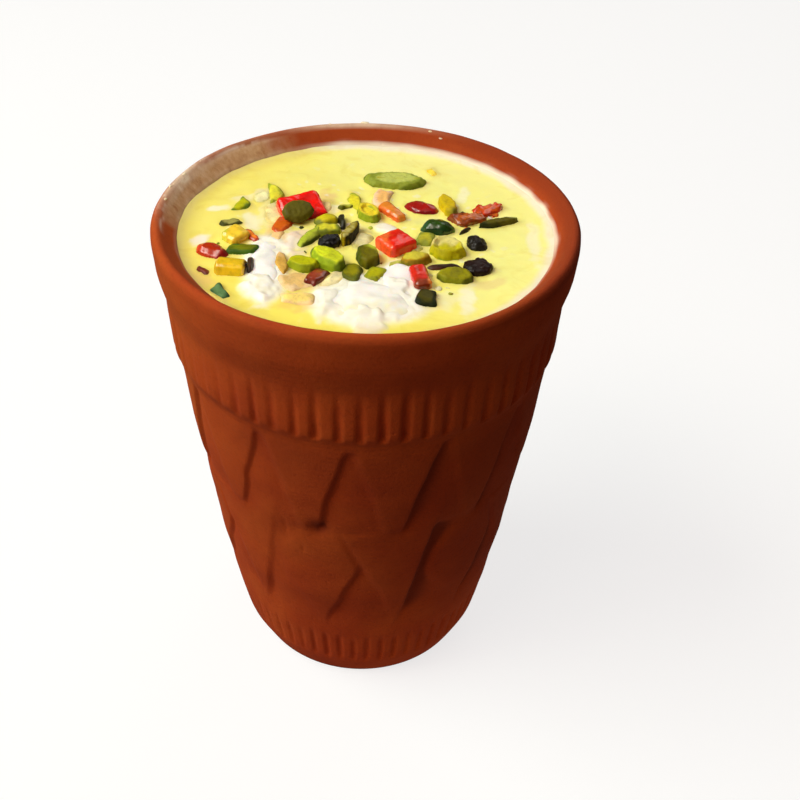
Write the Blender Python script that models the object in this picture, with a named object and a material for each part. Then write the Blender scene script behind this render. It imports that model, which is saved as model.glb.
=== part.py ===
"""Clay cup of lassi, topped with cream, candied fruit, raisins and cut pistachios.

The cup is one thrown and stamped piece of terracotta: a plain collar under a rounded lip, a band of
sixty flutes, a lattice of raised triangles over raised diamonds, a band of sixty short ribs and a plain
foot.  The lassi fills it up to a few millimetres under the lip, and the toppings float in the lassi.

Everything is worked out in millimetres and turned into metres at the end.  +Z is up, the origin lies
under the middle of the foot, and an angle round the cup counts from -Y towards +X.
"""
import bmesh
import bpy
import math
import random
from mathutils import Matrix, Vector

MM = 0.001                 # metres in a millimetre
GAP = 0.3                  # clear space between two touching solids

# --- cup: heights and radii -------------------------------------------------------------------------
CUP_HEIGHT = 107.3
LIP_RADIUS = 42.0
FOOT_RADIUS = 25.7
FLOOR_HEIGHT = 6.8         # the inside floor, over the foot
# outside of the cup, crests of its relief: height, radius
OUTSIDE = (
    (0.0, FOOT_RADIUS), (2.1, 26.7), (5.9, 28.4), (8.6, 29.0), (16.1, 30.4), (21.5, 31.2),
    (32.2, 33.2), (42.9, 34.35), (53.7, 35.8), (64.4, 37.3), (75.1, 38.2), (80.4, 38.75),
    (81.6, 39.6), (85.9, 39.85), (93.6, 40.2), (96.7, 40.9), (99.7, 41.6), (104.3, 41.95),
    (105.8, LIP_RADIUS), (106.8, 41.7), (CUP_HEIGHT, 41.1),
)
# inside of the cup, from the floor up to the lip's crest
INSIDE = (
    (FLOOR_HEIGHT, 22.0), (9.6, 25.0), (32.0, 29.2), (75.0, 34.5), (103.9, 37.0), (105.2, 38.3),
    (106.2, 39.3), (107.0, 40.1), (CUP_HEIGHT, 40.7),
)
COLUMNS = 60               # of the foot, the lip, the inside wall and the lassi against it
FOOT_ROWS = (0.0, 1.8, 4.6, 6.2)
LIP_ROWS = (96.0, 97.6, 101.2, 104.3, 105.8, 106.8, CUP_HEIGHT)
LIP_INSIDE_ROWS = (CUP_HEIGHT, 107.0, 106.2, 105.2)
WALL_ROWS = (103.9, 75.0, 32.0, 9.6, FLOOR_HEIGHT)

# --- cup: flutes under the collar and ribs over the foot -----------------------------------------------
GROOVE_COLUMNS = (0.0, 0.3, 0.7)   # shares of a pitch: the groove and the two edges of its crest
FLUTES = 60
FLUTE_DEPTH = 0.9
FLUTE_TURN = -1.4          # degrees, one of the grooves
FLUTE_ROWS = (81.0, 82.0, 89.5, 95.0)
FLUTE_FADE = (89.5, 95.0)  # the grooves grow shallow between these heights
RIBS = 60
RIB_DEPTH = 0.8
RIB_TURN = 3.0
RIB_ROWS = (7.0, 8.2, 15.6, 17.2)

# --- cup: lattice of triangles and diamonds -------------------------------------------------------------
REPEATS = 13
REPEAT = 360.0 / REPEATS
NICHE_TURN = -2.5          # degrees, the middle of one sunken niche
LATTICE_TOP = 79.0         # raised triangles hang from here
WAIST = 55.0               # their tips end here and the diamonds begin
BELLY = 41.0               # the diamonds are widest here
LATTICE_FOOT = 22.0        # and end here
NARROW = 1.3               # degrees, half the width of a tip
WIDE = 12.2                # degrees, half the width of a niche's foot
STEP = 0.6                 # degrees, half the width of a step between two levels
NICHE_TOP_DEPTH = 0.55     # upright sunken triangle, at its tip and at its foot
NICHE_FOOT_DEPTH = 1.25
KEEL_DEPTH = 0.6           # the small triangle hanging between two diamonds
TENT_DEPTH = 1.0           # sunken upright triangle between two diamonds' lower halves
PILLOW = 0.5               # how far a diamond's rim lies under its middle
PILLOW_RISE = 0.65         # under 1: the pillow rises steeply from its rim
CREST_DEPTH = 0.1          # the raised triangles
LATTICE_ROWS = (19.0, 21.2, 22.2, 33.5, 41.0, 48.0, 54.3, 55.7, 66.0, 78.6, 79.6, 80.4)
SLOTS = 10                 # columns to a repeat
LEVEL_RANK = 3             # from this column on, counted from a niche's middle, the ground is raised

# --- lassi and cream ---------------------------------------------------------------------------------
LEVEL = 103.4              # the lassi's flat surface
CLING = 0.45               # it climbs this far up the wall
CLING_STEPS = ((0.6, 0.7), (1.6, 0.3))   # in from the wall, share of the climb lost
LASSI_ROWS = (9.6, 32.0, 75.0)
# blobs of cream: name, (x, y), (length, width, height), heading, top over the lassi, lobes
CREAM = (
    ("cream_front", (0.6, -24.6), (19.2, 14.5, 4.2), 4.0, 1.5, 5),
    ("cream_middle", (6.0, -16.5), (5.4, 3.6, 2.6), 80.0, 1.2, 3),
    ("cream_left", (-19.1, -13.3), (21.5, 5.4, 3.4), 92.0, 1.3, 3),
)

# --- toppings in nodes of their own --------------------------------------------------------------------
# name, shape, (x, y), (length, width, height), heading in degrees, top over the lassi, lean in degrees
TOPPINGS = (
    ("fruit_red_back", "cube", (-13.2, 7.0), (8.8, 7.2, 3.2), 27, 2.1, 24),
    ("fruit_red_middle", "cube", (5.8, -6.2), (6.0, 5.2, 4.6), 38, 2.4, 0),
    ("fruit_red_front", "cube", (10.1, -18.1), (6.6, 3.3, 3.4), 99, 1.8, 0),
    ("fruit_yellow_back", "cube", (-25.5, -4.0), (4.6, 4.0, 3.2), 50, 1.7, 0),
    ("fruit_yellow_front", "cube", (-25.1, -15.5), (5.2, 3.9, 3.8), -5, 2.0, -8),
    ("fruit_orange", "cube", (5.1, 6.5), (7.4, 2.7, 2.8), -52, 1.6, 0),
    ("fruit_red_right", "bean", (11.0, 9.0), (7.4, 4.4, 3.2), -25, 1.7, 0),
    ("fruit_red_left", "bean", (-29.4, -9.2), (7.2, 4.3, 3.2), -28, 1.7, 0),
    ("raisin_middle", "bean", (-7.0, -5.5), (5.0, 3.7, 3.6), 20, 2.2, 0),
    ("raisin_right_back", "bean", (21.4, -4.8), (5.0, 3.4, 3.2), 100, 1.8, 0),
    ("raisin_right_front", "bean", (21.0, -13.7), (5.1, 4.3, 3.2), 10, 1.9, 0),
    ("pistachio_dome", "bean", (14.1, 0.7), (6.5, 4.1, 4.0), 0, 2.3, 0),
    ("pistachio_slice", "slice", (5.7, 20.1), (13.6, 6.0, 2.4), -6, 1.3, 0),
    ("pistachio_cup", "cup", (15.4, -7.7), (7.0, 6.2, 3.6), -35, 2.1, 0),
    ("pistachio_on_fruit", "slice", (-13.8, 3.6), (5.8, 4.6, 1.3), 27, 2.95, 24),
    ("pistachio_fork_right", "slice", (-7.1, -12.3), (8.4, 4.4, 3.0), -48, 2.2, -6),
    ("pistachio_fork_left", "slice", (-11.8, -14.0), (5.8, 3.4, 2.6), -12, 1.8, 0),
    ("pistachio_centre", "slice", (0.3, -10.8), (6.8, 4.2, 3.0), 100, 1.9, 0),
    ("pistachio_sliver", "sliver", (-3.1, -2.8), (7.8, 2.2, 3.4), 68, 2.1, 0),
    ("pistachio_curl", "cup", (0.5, 5.6), (6.4, 4.0, 2.8), -68, 1.8, 0),
    ("pistachio_wedge", "slice", (9.3, -11.5), (6.2, 3.3, 2.6), 14, 1.6, 0),
    ("pistachio_right", "slice", (16.6, -16.9), (6.3, 4.0, 2.4), -8, 1.3, 0),
    ("pistachio_dark_sliver", "sliver", (26.4, 3.3), (9.6, 2.0, 2.0), 21, 1.2, 0),
    ("almond_leaf", "sliver", (16.5, 9.4), (7.8, 3.2, 2.6), 104, 1.6, 0),
    ("almond_flake", "sliver", (-15.9, -13.3), (7.8, 2.3, 1.8), 100, 0.9, 0),
)

# --- small toppings, fused to the lassi ------------------------------------------------------------------
# shape, (x, y), (length, width), heading in degrees, top over the lassi
BITS = (
    ("sliver", (-10.9, -3.5), (6.8, 2.0), 62, 1.2),
    ("chip", (-7.5, -0.8), (4.0, 1.6), 5, 1.5),
    ("chip", (-2.4, -16.1), (5.2, 3.0), 80, 1.2),
    ("chip", (2.0, -16.3), (4.0, 2.6), 70, 1.0),
    ("chip", (-4.9, 2.4), (3.2, 1.2), 95, 1.6),
    ("sliver", (-2.2, 12.3), (6.0, 2.2), 100, 0.8),
    ("chip", (-4.3, 9.3), (2.8, 0.9), 30, 0.9),
    ("chip", (3.1, 13.2), (4.2, 3.2), 80, 0.9),
    ("chip", (21.0, 3.8), (5.8, 2.8), 8, 1.2),
    ("chip", (25.0, 9.0), (5.6, 2.5), 25, 1.0),
    ("sliver", (15.4, -13.0), (6.4, 1.1), 8, 0.8),
    ("chip", (11.0, -24.4), (3.8, 3.4), 10, 1.2),
    ("chip", (-12.8, -19.7), (5.4, 4.0), 15, 0.8),
    ("chip", (-12.7, -25.4), (5.8, 3.0), -8, 0.7),
    ("sliver", (-9.3, -18.0), (5.2, 2.4), 60, 1.2),
    ("sliver", (-25.8, 9.0), (4.8, 3.2), 48, 1.0),
    ("chip", (-27.1, 2.8), (3.8, 1.3), 20, 0.8),
    ("sliver", (-19.1, 14.2), (7.2, 3.2), 98, 1.0),
    ("chip", (-26.5, -22.0), (4.0, 1.6), -52, 0.9),
    ("chip", (-30.5, -15.9), (2.6, 1.2), -32, 0.8),
    ("chip", (13.9, 25.3), (2.4, 1.8), 110, 0.5),
    ("chip", (-22.3, -3.1), (3.4, 1.0), -55, 0.9),
    ("chip", (-17.6, 0.5), (3.2, 2.4), 62, 0.7),
    ("chip", (-22.0, -14.8), (3.0, 0.8), 90, 1.5),
    ("slice", (-23.7, -8.3), (5.3, 2.3), -8, 1.1),
    ("slice", (-7.9, 2.7), (4.6, 2.7), 0, 1.8),
)
BIT_DRAUGHT = 1.1          # how far a bit reaches under the surface
SEED = 11
BED = "_bed"               # ends the name of a larger copy that cuts a piece's bed

# --- materials: name, colour, roughness ------------------------------------------------------------------
TERRACOTTA = ("terracotta", (0.42, 0.12, 0.035), 0.85)
LASSI = ("mango_lassi", (0.96, 0.88, 0.36), 0.35)
WHITE_CREAM = ("cream", (0.97, 0.94, 0.88), 0.4)
COLOURS = {
    "fruit_red": ("candied_fruit_red", (0.70, 0.03, 0.015), 0.2),
    "fruit_yellow": ("candied_fruit_yellow", (0.90, 0.60, 0.04), 0.25),
    "fruit_orange": ("candied_fruit_orange", (0.90, 0.27, 0.04), 0.25),
    "raisin": ("raisin", (0.02, 0.012, 0.008), 0.4),
    "pistachio": ("pistachio", (0.30, 0.42, 0.04), 0.5),
    "almond": ("almond", (0.75, 0.52, 0.14), 0.5),
}


def along(points, height):
    """Radius at a height on a turned outline given as (height, radius) points."""
    for (low, near), (high, far) in zip(points, points[1:]):
        if height <= high:
            return near + (far - near) * max(0.0, height - low) / (high - low)
    return points[-1][1]


def blend(start, end, share):
    """Straight blend, held at its two ends."""
    return start + (end - start) * min(1.0, max(0.0, share))


# --- turned bands ---------------------------------------------------------------------------------------
def turned_band(bm, columns, heights, place):
    """Spin a column of points round the axis, then let place(column, height) set angle and radius."""
    before = set(bm.verts)
    column = [bm.verts.new((1.0, 0.0, height)) for height in heights]
    edges = [bm.edges.new(pair) for pair in zip(column, column[1:])]
    bmesh.ops.spin(bm, geom=column + edges, axis=(0, 0, 1), cent=(0, 0, 0), dvec=(0, 0, 0),
                   angle=math.tau, steps=columns, use_merge=True)
    for vert in set(bm.verts) - before:
        turn = round(math.atan2(vert.co.y, vert.co.x) / math.tau * columns) % columns
        angle, radius = place(turn, vert.co.z)
        vert.co.x = radius * math.sin(math.radians(angle))
        vert.co.y = -radius * math.cos(math.radians(angle))


def open_ring(bm, height, inner=False):
    """The open edge loop at a height, on the outside or on the inside of the wall."""
    def on_ring(vert):
        middle = (along(OUTSIDE, height) + along(INSIDE, height)) / 2
        return abs(vert.co.z - height) < 0.01 and (vert.co.xy.length < middle) == inner
    return [edge for edge in bm.edges if edge.is_boundary and all(on_ring(vert) for vert in edge.verts)]


def plain(outline, inset=0.0):
    """Placing rule of a band without relief, set in from an outline."""
    return lambda turn, height: (360.0 * turn / COLUMNS, along(outline, height) - inset)


def grooved(turn, height, count, first_turn, depth):
    """Three columns to a repeat: the groove, sunken by depth, and the two edges of its crest."""
    repeat, column = divmod(turn, len(GROOVE_COLUMNS))
    angle = first_turn + 360.0 / count * (repeat + GROOVE_COLUMNS[column])
    return angle, along(OUTSIDE, height) - (depth if column == 0 else 0.0)


def fluted(turn, height):
    """Flutes that end in a step at their foot and fade out towards the collar."""
    share = (height - FLUTE_FADE[0]) / (FLUTE_FADE[1] - FLUTE_FADE[0])
    depth = FLUTE_DEPTH * blend(1.0, 0.0, share) if height > FLUTE_ROWS[0] else 0.0
    return grooved(turn, height, FLUTES, FLUTE_TURN, depth)


def ribbed(turn, height):
    """Short upright ribs, with grooves that end at both rims of their band."""
    depth = 0.0 if height in (RIB_ROWS[0], RIB_ROWS[-1]) else RIB_DEPTH
    return grooved(turn, height, RIBS, RIB_TURN, depth)


def niche_half_width(height):
    """Half the width, in degrees, of the sunken zigzag at a height."""
    if height >= WAIST:
        return blend(WIDE, NARROW, (height - WAIST) / (LATTICE_TOP - WAIST))
    if height >= BELLY:
        return blend(NARROW, WIDE, (height - BELLY) / (WAIST - BELLY))
    return blend(WIDE, NARROW, (height - LATTICE_FOOT) / (BELLY - LATTICE_FOOT))


def sunken_depth(height):
    """Depth of niche, keel or tent, whichever lies at this height."""
    if height > WAIST:
        return blend(NICHE_FOOT_DEPTH, NICHE_TOP_DEPTH, (height - WAIST) / (LATTICE_TOP - WAIST))
    if height > BELLY:
        return KEEL_DEPTH
    return blend(TENT_DEPTH, KEEL_DEPTH, (height - LATTICE_FOOT) / (BELLY - LATTICE_FOOT))


def raised_depth(height, inward):
    """Depth of a raised triangle or diamond; inward runs from 0 at its rim to 1 in its middle."""
    if height > WAIST:
        return CREST_DEPTH
    share = (height - LATTICE_FOOT) / (WAIST - LATTICE_FOOT)
    swell = math.sin(math.pi * blend(0.0, 1.0, share)) ** PILLOW_RISE
    return PILLOW * (1.0 - swell * math.sin(inward * math.pi / 2) ** PILLOW_RISE)


def latticed(turn, height):
    """Ten columns to a repeat, leaning along the steps; the rows beside other bands are plain."""
    half = SLOTS // 2
    niche = (turn + half - 1) // SLOTS
    place = turn - SLOTS * niche
    rank = abs(place)
    inner_edge = niche_half_width(height) - STEP
    outer_edge = inner_edge + 2 * STEP
    offset = (0.0, inner_edge / 2, inner_edge, outer_edge, (outer_edge + REPEAT / 2) / 2, REPEAT / 2)[rank]
    depth = sunken_depth(height)
    if rank >= LEVEL_RANK:
        depth = raised_depth(height, (rank - LEVEL_RANK) / (half - LEVEL_RANK))
    if height in LATTICE_ROWS[:2] + LATTICE_ROWS[-2:]:
        depth = 0.0
    if height in (LATTICE_ROWS[0], LATTICE_ROWS[-1]):
        offset = REPEAT * rank / SLOTS
    return NICHE_TURN + REPEAT * niche + math.copysign(offset, place), along(OUTSIDE, height) - depth


def in_turning_order(ring):
    """Points of an open ring with their turns from 0 to 1; the first comes again one turn later."""
    path = [(math.atan2(vert.co.x, -vert.co.y) / math.tau % 1.0, vert)
            for vert in {vert for edge in ring for vert in edge.verts}]
    path.sort(key=lambda stop: stop[0])
    return path + [(path[0][0] + 1.0, path[0][1])]


def join_rings(bm, first, second):
    """Close the band between two open rings; unlike counts are zipped with triangles."""
    if len(first) == len(second):
        bmesh.ops.bridge_loops(bm, edges=first + second)
        return
    one = in_turning_order(first)
    other = in_turning_order(second)
    at_one = at_other = 0
    while at_one < len(first) or at_other < len(second):
        step_one = at_other == len(second) or (
            at_one < len(first) and one[at_one + 1][0] <= other[at_other + 1][0])
        corner = one[at_one + 1][1] if step_one else other[at_other + 1][1]
        bm.faces.new((one[at_one][1], other[at_other][1], corner))
        at_one += step_one
        at_other += not step_one


def make_cup(bm):
    """The whole cup, from the foot up the outside, over the lip and down the inside."""
    turned_band(bm, COLUMNS, FOOT_ROWS, plain(OUTSIDE))
    turned_band(bm, len(GROOVE_COLUMNS) * RIBS, RIB_ROWS, ribbed)
    turned_band(bm, SLOTS * REPEATS, LATTICE_ROWS, latticed)
    turned_band(bm, len(GROOVE_COLUMNS) * FLUTES, FLUTE_ROWS, fluted)
    turned_band(bm, COLUMNS, LIP_ROWS, plain(OUTSIDE))
    turned_band(bm, COLUMNS, LIP_INSIDE_ROWS, plain(INSIDE))
    turned_band(bm, COLUMNS, WALL_ROWS, plain(INSIDE))
    outside = (FOOT_ROWS, RIB_ROWS, LATTICE_ROWS, FLUTE_ROWS, LIP_ROWS)
    for below, above in zip(outside, outside[1:]):
        join_rings(bm, open_ring(bm, below[-1]), open_ring(bm, above[0]))
    join_rings(bm, open_ring(bm, CUP_HEIGHT), open_ring(bm, CUP_HEIGHT, inner=True))
    join_rings(bm, open_ring(bm, LIP_INSIDE_ROWS[-1], inner=True), open_ring(bm, WALL_ROWS[0], inner=True))
    for ring in (open_ring(bm, 0.0), open_ring(bm, FLOOR_HEIGHT, inner=True)):
        bmesh.ops.edgeloop_fill(bm, edges=ring)


def make_lassi(bm):
    """The drink: it follows the wall at a small gap, climbs it a little and is flat in the middle."""
    lowest = FLOOR_HEIGHT + GAP
    shore = LEVEL + CLING
    turned_band(bm, COLUMNS, (lowest,) + LASSI_ROWS + (shore,), plain(INSIDE, GAP))
    bmesh.ops.edgeloop_fill(bm, edges=open_ring(bm, lowest, inner=True))
    ring = open_ring(bm, shore, inner=True)
    for inset, fall in CLING_STEPS:
        grown = bmesh.ops.extrude_edge_only(bm, edges=ring)["geom"]
        for vert in (item for item in grown if isinstance(item, bmesh.types.BMVert)):
            vert.co.xy *= 1.0 - inset / vert.co.xy.length
            vert.co.z -= fall * CLING
        ring = [item for item in grown if isinstance(item, bmesh.types.BMEdge) and item.is_boundary]
    bmesh.ops.edgeloop_fill(bm, edges=ring)


# --- shapes of the toppings, each centred on its own origin ---------------------------------------------------
def uneven(bm, sizes, draw, share=0.07):
    """Push every point a little off its place, so that no two pieces are alike."""
    for vert in bm.verts:
        for axis in range(3):
            vert.co[axis] += draw.uniform(-share, share) * sizes[axis] * 0.5


def scale_to(bm, sizes):
    bmesh.ops.scale(bm, vec=Vector(sizes), verts=bm.verts)


def cube_shape(bm, sizes, draw):
    """Cut cube of candied fruit, with softened edges."""
    bmesh.ops.create_cube(bm, size=1.0)
    scale_to(bm, sizes)
    uneven(bm, sizes, draw, 0.16)
    bmesh.ops.bevel(bm, geom=bm.edges[:], offset=0.55, offset_type="OFFSET", segments=1, profile=0.5,
                    affect="EDGES", material=-1)


def bean_shape(bm, sizes, draw):
    """Rounded piece: glossy fruit, raisin or a pistachio's domed end."""
    bmesh.ops.create_icosphere(bm, subdivisions=2, radius=0.5)
    scale_to(bm, sizes)
    uneven(bm, sizes, draw, 0.08)


def raise_top(bm, rise, spread):
    """Extrude the highest face upwards and scale its copy across; a first, single face stays as base."""
    top = max(bm.faces, key=lambda face: face.calc_center_median().z)
    lone = len(bm.faces) == 1
    grown = bmesh.ops.extrude_face_region(bm, geom=[top])["geom"]
    verts = [item for item in grown if isinstance(item, bmesh.types.BMVert)]
    bmesh.ops.translate(bm, vec=(0, 0, rise), verts=verts)
    bmesh.ops.scale(bm, vec=(*spread, 1.0), verts=verts)
    if not lone:
        bmesh.ops.delete(bm, geom=[top], context="FACES_ONLY")


def slice_shape(bm, sizes, draw):
    """Oval slice across a nut, with a softened upper edge."""
    for vert in bmesh.ops.create_circle(bm, segments=10, radius=0.5, cap_ends=True)["verts"]:
        vert.co.xy *= 1.0 + draw.uniform(-0.08, 0.08)
    raise_top(bm, 0.62, (1.0, 1.0))
    raise_top(bm, 0.38, (0.84, 0.84))
    bmesh.ops.translate(bm, vec=(0, 0, -0.5), verts=bm.verts)
    scale_to(bm, sizes)


def cup_shape(bm, sizes, draw):
    """Slice whose middle is hollowed, like the end of a nut's skin."""
    slice_shape(bm, sizes, draw)
    top = max(bm.faces, key=lambda face: face.calc_center_median().z)
    bmesh.ops.inset_region(bm, faces=[top], thickness=0.16 * sizes[1], depth=0.0)
    bmesh.ops.translate(bm, vec=(0, 0, -0.22 * sizes[2]), verts=top.verts)


def sliver_shape(bm, sizes, draw):
    """Flake that narrows towards both of its ends."""
    for vert in bmesh.ops.create_circle(bm, segments=8, radius=0.5, cap_ends=True)["verts"]:
        vert.co.y *= 1.0 + draw.uniform(-0.2, 0.1)
    raise_top(bm, 1.0, (0.86, 0.8))
    bmesh.ops.translate(bm, vec=(0, 0, -0.5), verts=bm.verts)
    scale_to(bm, sizes)


def chip_shape(bm, sizes, draw):
    """Small cut piece: a block with its top drawn in."""
    bmesh.ops.create_cube(bm, size=1.0)
    scale_to(bm, sizes)
    for vert in bm.verts:
        if vert.co.z > 0:
            vert.co.xy *= 0.82
    uneven(bm, sizes, draw, 0.14)


SHAPES = {"cube": cube_shape, "bean": bean_shape, "slice": slice_shape, "cup": cup_shape,
          "sliver": sliver_shape, "chip": chip_shape}


# --- objects --------------------------------------------------------------------------------------------
def new_object(name, bm, smooth=False):
    """Close a bmesh into an object of its own."""
    bmesh.ops.recalc_face_normals(bm, faces=bm.faces)
    mesh = bpy.data.meshes.new(name)
    bm.to_mesh(mesh)
    bm.free()
    if smooth:
        mesh.shade_smooth()
        mesh.set_sharp_from_angle(angle=math.radians(35))
    made = bpy.data.objects.new(name, mesh)
    bpy.context.scene.collection.objects.link(made)
    return made


def paint(made, finish):
    """Give an object its Principled material."""
    name, colour, roughness = finish
    material = bpy.data.materials.get(name)
    if material is None:
        material = bpy.data.materials.new(name)
        material.use_nodes = True
        shader = material.node_tree.nodes["Principled BSDF"]
        shader.inputs["Base Color"].default_value = (*colour, 1.0)
        shader.inputs["Roughness"].default_value = roughness
        shader.inputs["Metallic"].default_value = 0.0
        material.diffuse_color = (*colour, 1.0)
    made.data.materials.clear()
    made.data.materials.append(material)


def topping_object(name, shape, spot, sizes, heading, top, lean=0.0, grow=0.0):
    """One piece in its place; grow makes the larger copy that cuts its bed."""
    draw = random.Random(f"{SEED} {name.removesuffix(BED)}")
    bm = bmesh.new()
    SHAPES[shape](bm, [size + 2 * grow for size in sizes], draw)
    turn = Matrix.Rotation(math.radians(heading), 4, "Z") @ Matrix.Rotation(math.radians(lean), 4, "X")
    place = Matrix.Translation((*spot, LEVEL + top - sizes[2] / 2))
    bmesh.ops.transform(bm, matrix=place @ turn, verts=bm.verts)
    return new_object(name, bm)


def cream_object(name, spot, sizes, heading, top, lobes, grow=0.0):
    """Spoonful of cream: a flat blob whose outline swells in lobes."""
    draw = random.Random(f"{SEED} {name.removesuffix(BED)}")
    phase = draw.uniform(0, math.tau)
    bm = bmesh.new()
    bmesh.ops.create_uvsphere(bm, u_segments=18, v_segments=6, radius=0.5)
    for vert in bm.verts:
        round_angle = math.atan2(vert.co.y, vert.co.x)
        swell = 0.10 * math.sin(lobes * round_angle + phase) + 0.05 * math.sin(2 * lobes * round_angle)
        vert.co.xy *= 1.0 + swell * min(1.0, vert.co.xy.length / 0.3)
    scale_to(bm, [size + 2 * grow for size in sizes])
    place = Matrix.Translation((*spot, LEVEL + top - sizes[2] / 2))
    turn = Matrix.Rotation(math.radians(heading), 4, "Z")
    bmesh.ops.transform(bm, matrix=place @ turn, verts=bm.verts)
    return new_object(name, bm)


def combine(target, tools, operation):
    """One exact Boolean of the target with a collection of closed tools, which are then removed."""
    if not tools:
        return
    rack = bpy.data.collections.new("tools")
    bpy.context.scene.collection.children.link(rack)
    for tool in tools:
        bpy.context.scene.collection.objects.unlink(tool)
        rack.objects.link(tool)
    cut = target.modifiers.new("combine", "BOOLEAN")
    cut.operation = operation
    cut.operand_type = "COLLECTION"
    cut.collection = rack
    cut.solver = "EXACT"
    cut.use_self = operation == "DIFFERENCE"
    bpy.context.view_layer.update()
    result = bpy.data.meshes.new_from_object(target.evaluated_get(bpy.context.evaluated_depsgraph_get()))
    target.modifiers.clear()
    target.data = result
    for tool in tools:
        bpy.data.objects.remove(tool)
    bpy.data.collections.remove(rack)


def drop_scraps(target):
    """Keep the largest of the loose bodies that a cut has left."""
    bm = bmesh.new()
    bm.from_mesh(target.data)
    bmesh.ops.remove_doubles(bm, verts=bm.verts, dist=0.002)
    bmesh.ops.dissolve_degenerate(bm, edges=bm.edges, dist=0.002)
    left = set(bm.verts)
    islands = []
    while left:
        island = {left.pop()}
        front = list(island)
        while front:
            vert = front.pop()
            reached = {edge.other_vert(vert) for edge in vert.link_edges} & left
            left -= reached
            island |= reached
            front += reached
        islands.append(island)
    islands.sort(key=len)
    for island in islands[:-1]:
        bmesh.ops.delete(bm, geom=list(island), context="VERTS")
    bmesh.ops.triangulate(bm, faces=bm.faces)
    bm.to_mesh(target.data)
    bm.free()


def box(made):
    """Lowest and highest coordinate of an object along each axis."""
    spots = [vert.co for vert in made.data.vertices]
    return [(min(spot[axis] for spot in spots), max(spot[axis] for spot in spots)) for axis in range(3)]


def near(first, second):
    """Whether the boxes of two objects in place come within a gap of each other."""
    return all(low <= other_high + GAP and other_low <= high + GAP
               for (low, high), (other_low, other_high) in zip(box(first), box(second)))


def colour_of(name):
    """Finish of a topping, from how its name begins."""
    return next(finish for start, finish in COLOURS.items() if name.startswith(start))


def build():
    for old in list(bpy.data.objects):
        bpy.data.objects.remove(old)

    bm = bmesh.new()
    make_cup(bm)
    cup = new_object("cup", bm, smooth=True)
    paint(cup, TERRACOTTA)

    placed = []
    for name, shape, spot, sizes, heading, top, lean in TOPPINGS:
        piece = topping_object(name, shape, spot, sizes, heading, top, lean)
        cutters = [topping_object(other + BED, *row, grow=GAP)
                   for other, *row in TOPPINGS[:len(placed)] if near(piece, bpy.data.objects[other])]
        combine(piece, cutters, "DIFFERENCE")
        drop_scraps(piece)
        paint(piece, colour_of(name))
        placed.append(piece)

    blobs = []
    for name, *row in CREAM:
        blob = cream_object(name, *row)
        cutters = [topping_object(other + BED, *topping, grow=GAP)
                   for other, *topping in TOPPINGS if near(blob, bpy.data.objects[other])]
        cutters += [cream_object(other + BED, *earlier, grow=GAP)
                    for other, *earlier in CREAM[:len(blobs)]]
        combine(blob, cutters, "DIFFERENCE")
        drop_scraps(blob)
        paint(blob, WHITE_CREAM)
        blobs.append(blob)

    bm = bmesh.new()
    make_lassi(bm)
    lassi = new_object("lassi", bm)
    bits = [topping_object(f"bit_{number}", shape, spot, (*size, top + BIT_DRAUGHT), heading, top)
            for number, (shape, spot, size, heading, top) in enumerate(BITS)]
    combine(lassi, bits, "UNION")
    beds = [topping_object(name + BED, *row, grow=GAP) for name, *row in TOPPINGS]
    beds += [cream_object(name + BED, *row, grow=GAP) for name, *row in CREAM]
    combine(lassi, beds, "DIFFERENCE")
    drop_scraps(lassi)
    paint(lassi, LASSI)

    for made in [cup, lassi] + placed + blobs:
        made.data.transform(Matrix.Scale(MM, 4))
        made.data.update()


build()
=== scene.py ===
import bmesh
import bpy
import math
import numpy as np
import random
from mathutils import Matrix, Vector, noise
from mathutils.bvhtree import BVHTree


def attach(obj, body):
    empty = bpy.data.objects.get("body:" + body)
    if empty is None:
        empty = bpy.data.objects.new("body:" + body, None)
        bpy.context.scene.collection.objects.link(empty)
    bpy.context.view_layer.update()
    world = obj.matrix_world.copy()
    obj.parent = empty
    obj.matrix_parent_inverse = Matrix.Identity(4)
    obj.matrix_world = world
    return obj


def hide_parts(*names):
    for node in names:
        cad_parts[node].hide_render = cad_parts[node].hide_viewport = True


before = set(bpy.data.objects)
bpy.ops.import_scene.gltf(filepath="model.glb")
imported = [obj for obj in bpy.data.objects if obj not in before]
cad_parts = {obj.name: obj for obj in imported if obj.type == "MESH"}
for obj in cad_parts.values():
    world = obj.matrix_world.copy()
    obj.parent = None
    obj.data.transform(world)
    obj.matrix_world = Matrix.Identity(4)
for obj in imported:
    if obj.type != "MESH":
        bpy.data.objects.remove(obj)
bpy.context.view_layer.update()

# Lengths are in millimetres until a mesh is kept.  +Z is up, and an angle round the cup counts from -Y
# towards +X, in degrees.
MM = 0.001
SEED = 23
noise.seed_set(SEED)        # noise_vector would draw its offsets from the clock

# --- camera: place in mm, angles in degrees
CAMERA_PLACE = (0.0, -198.823, 219.099)
CAMERA_PITCH = 38.4805     # down from the horizon
CAMERA_YAW = 2.2785        # towards +X
CAMERA_ROLL = 2.26
CAMERA_LENS = 51.75
SENSOR = 36.0

# --- stage, in metres
LIGHT_AIM = Vector((0.0, 0.0, 0.07))
FLOOR_REACH = 6.0
DOME_RADIUS = 5.9

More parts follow.
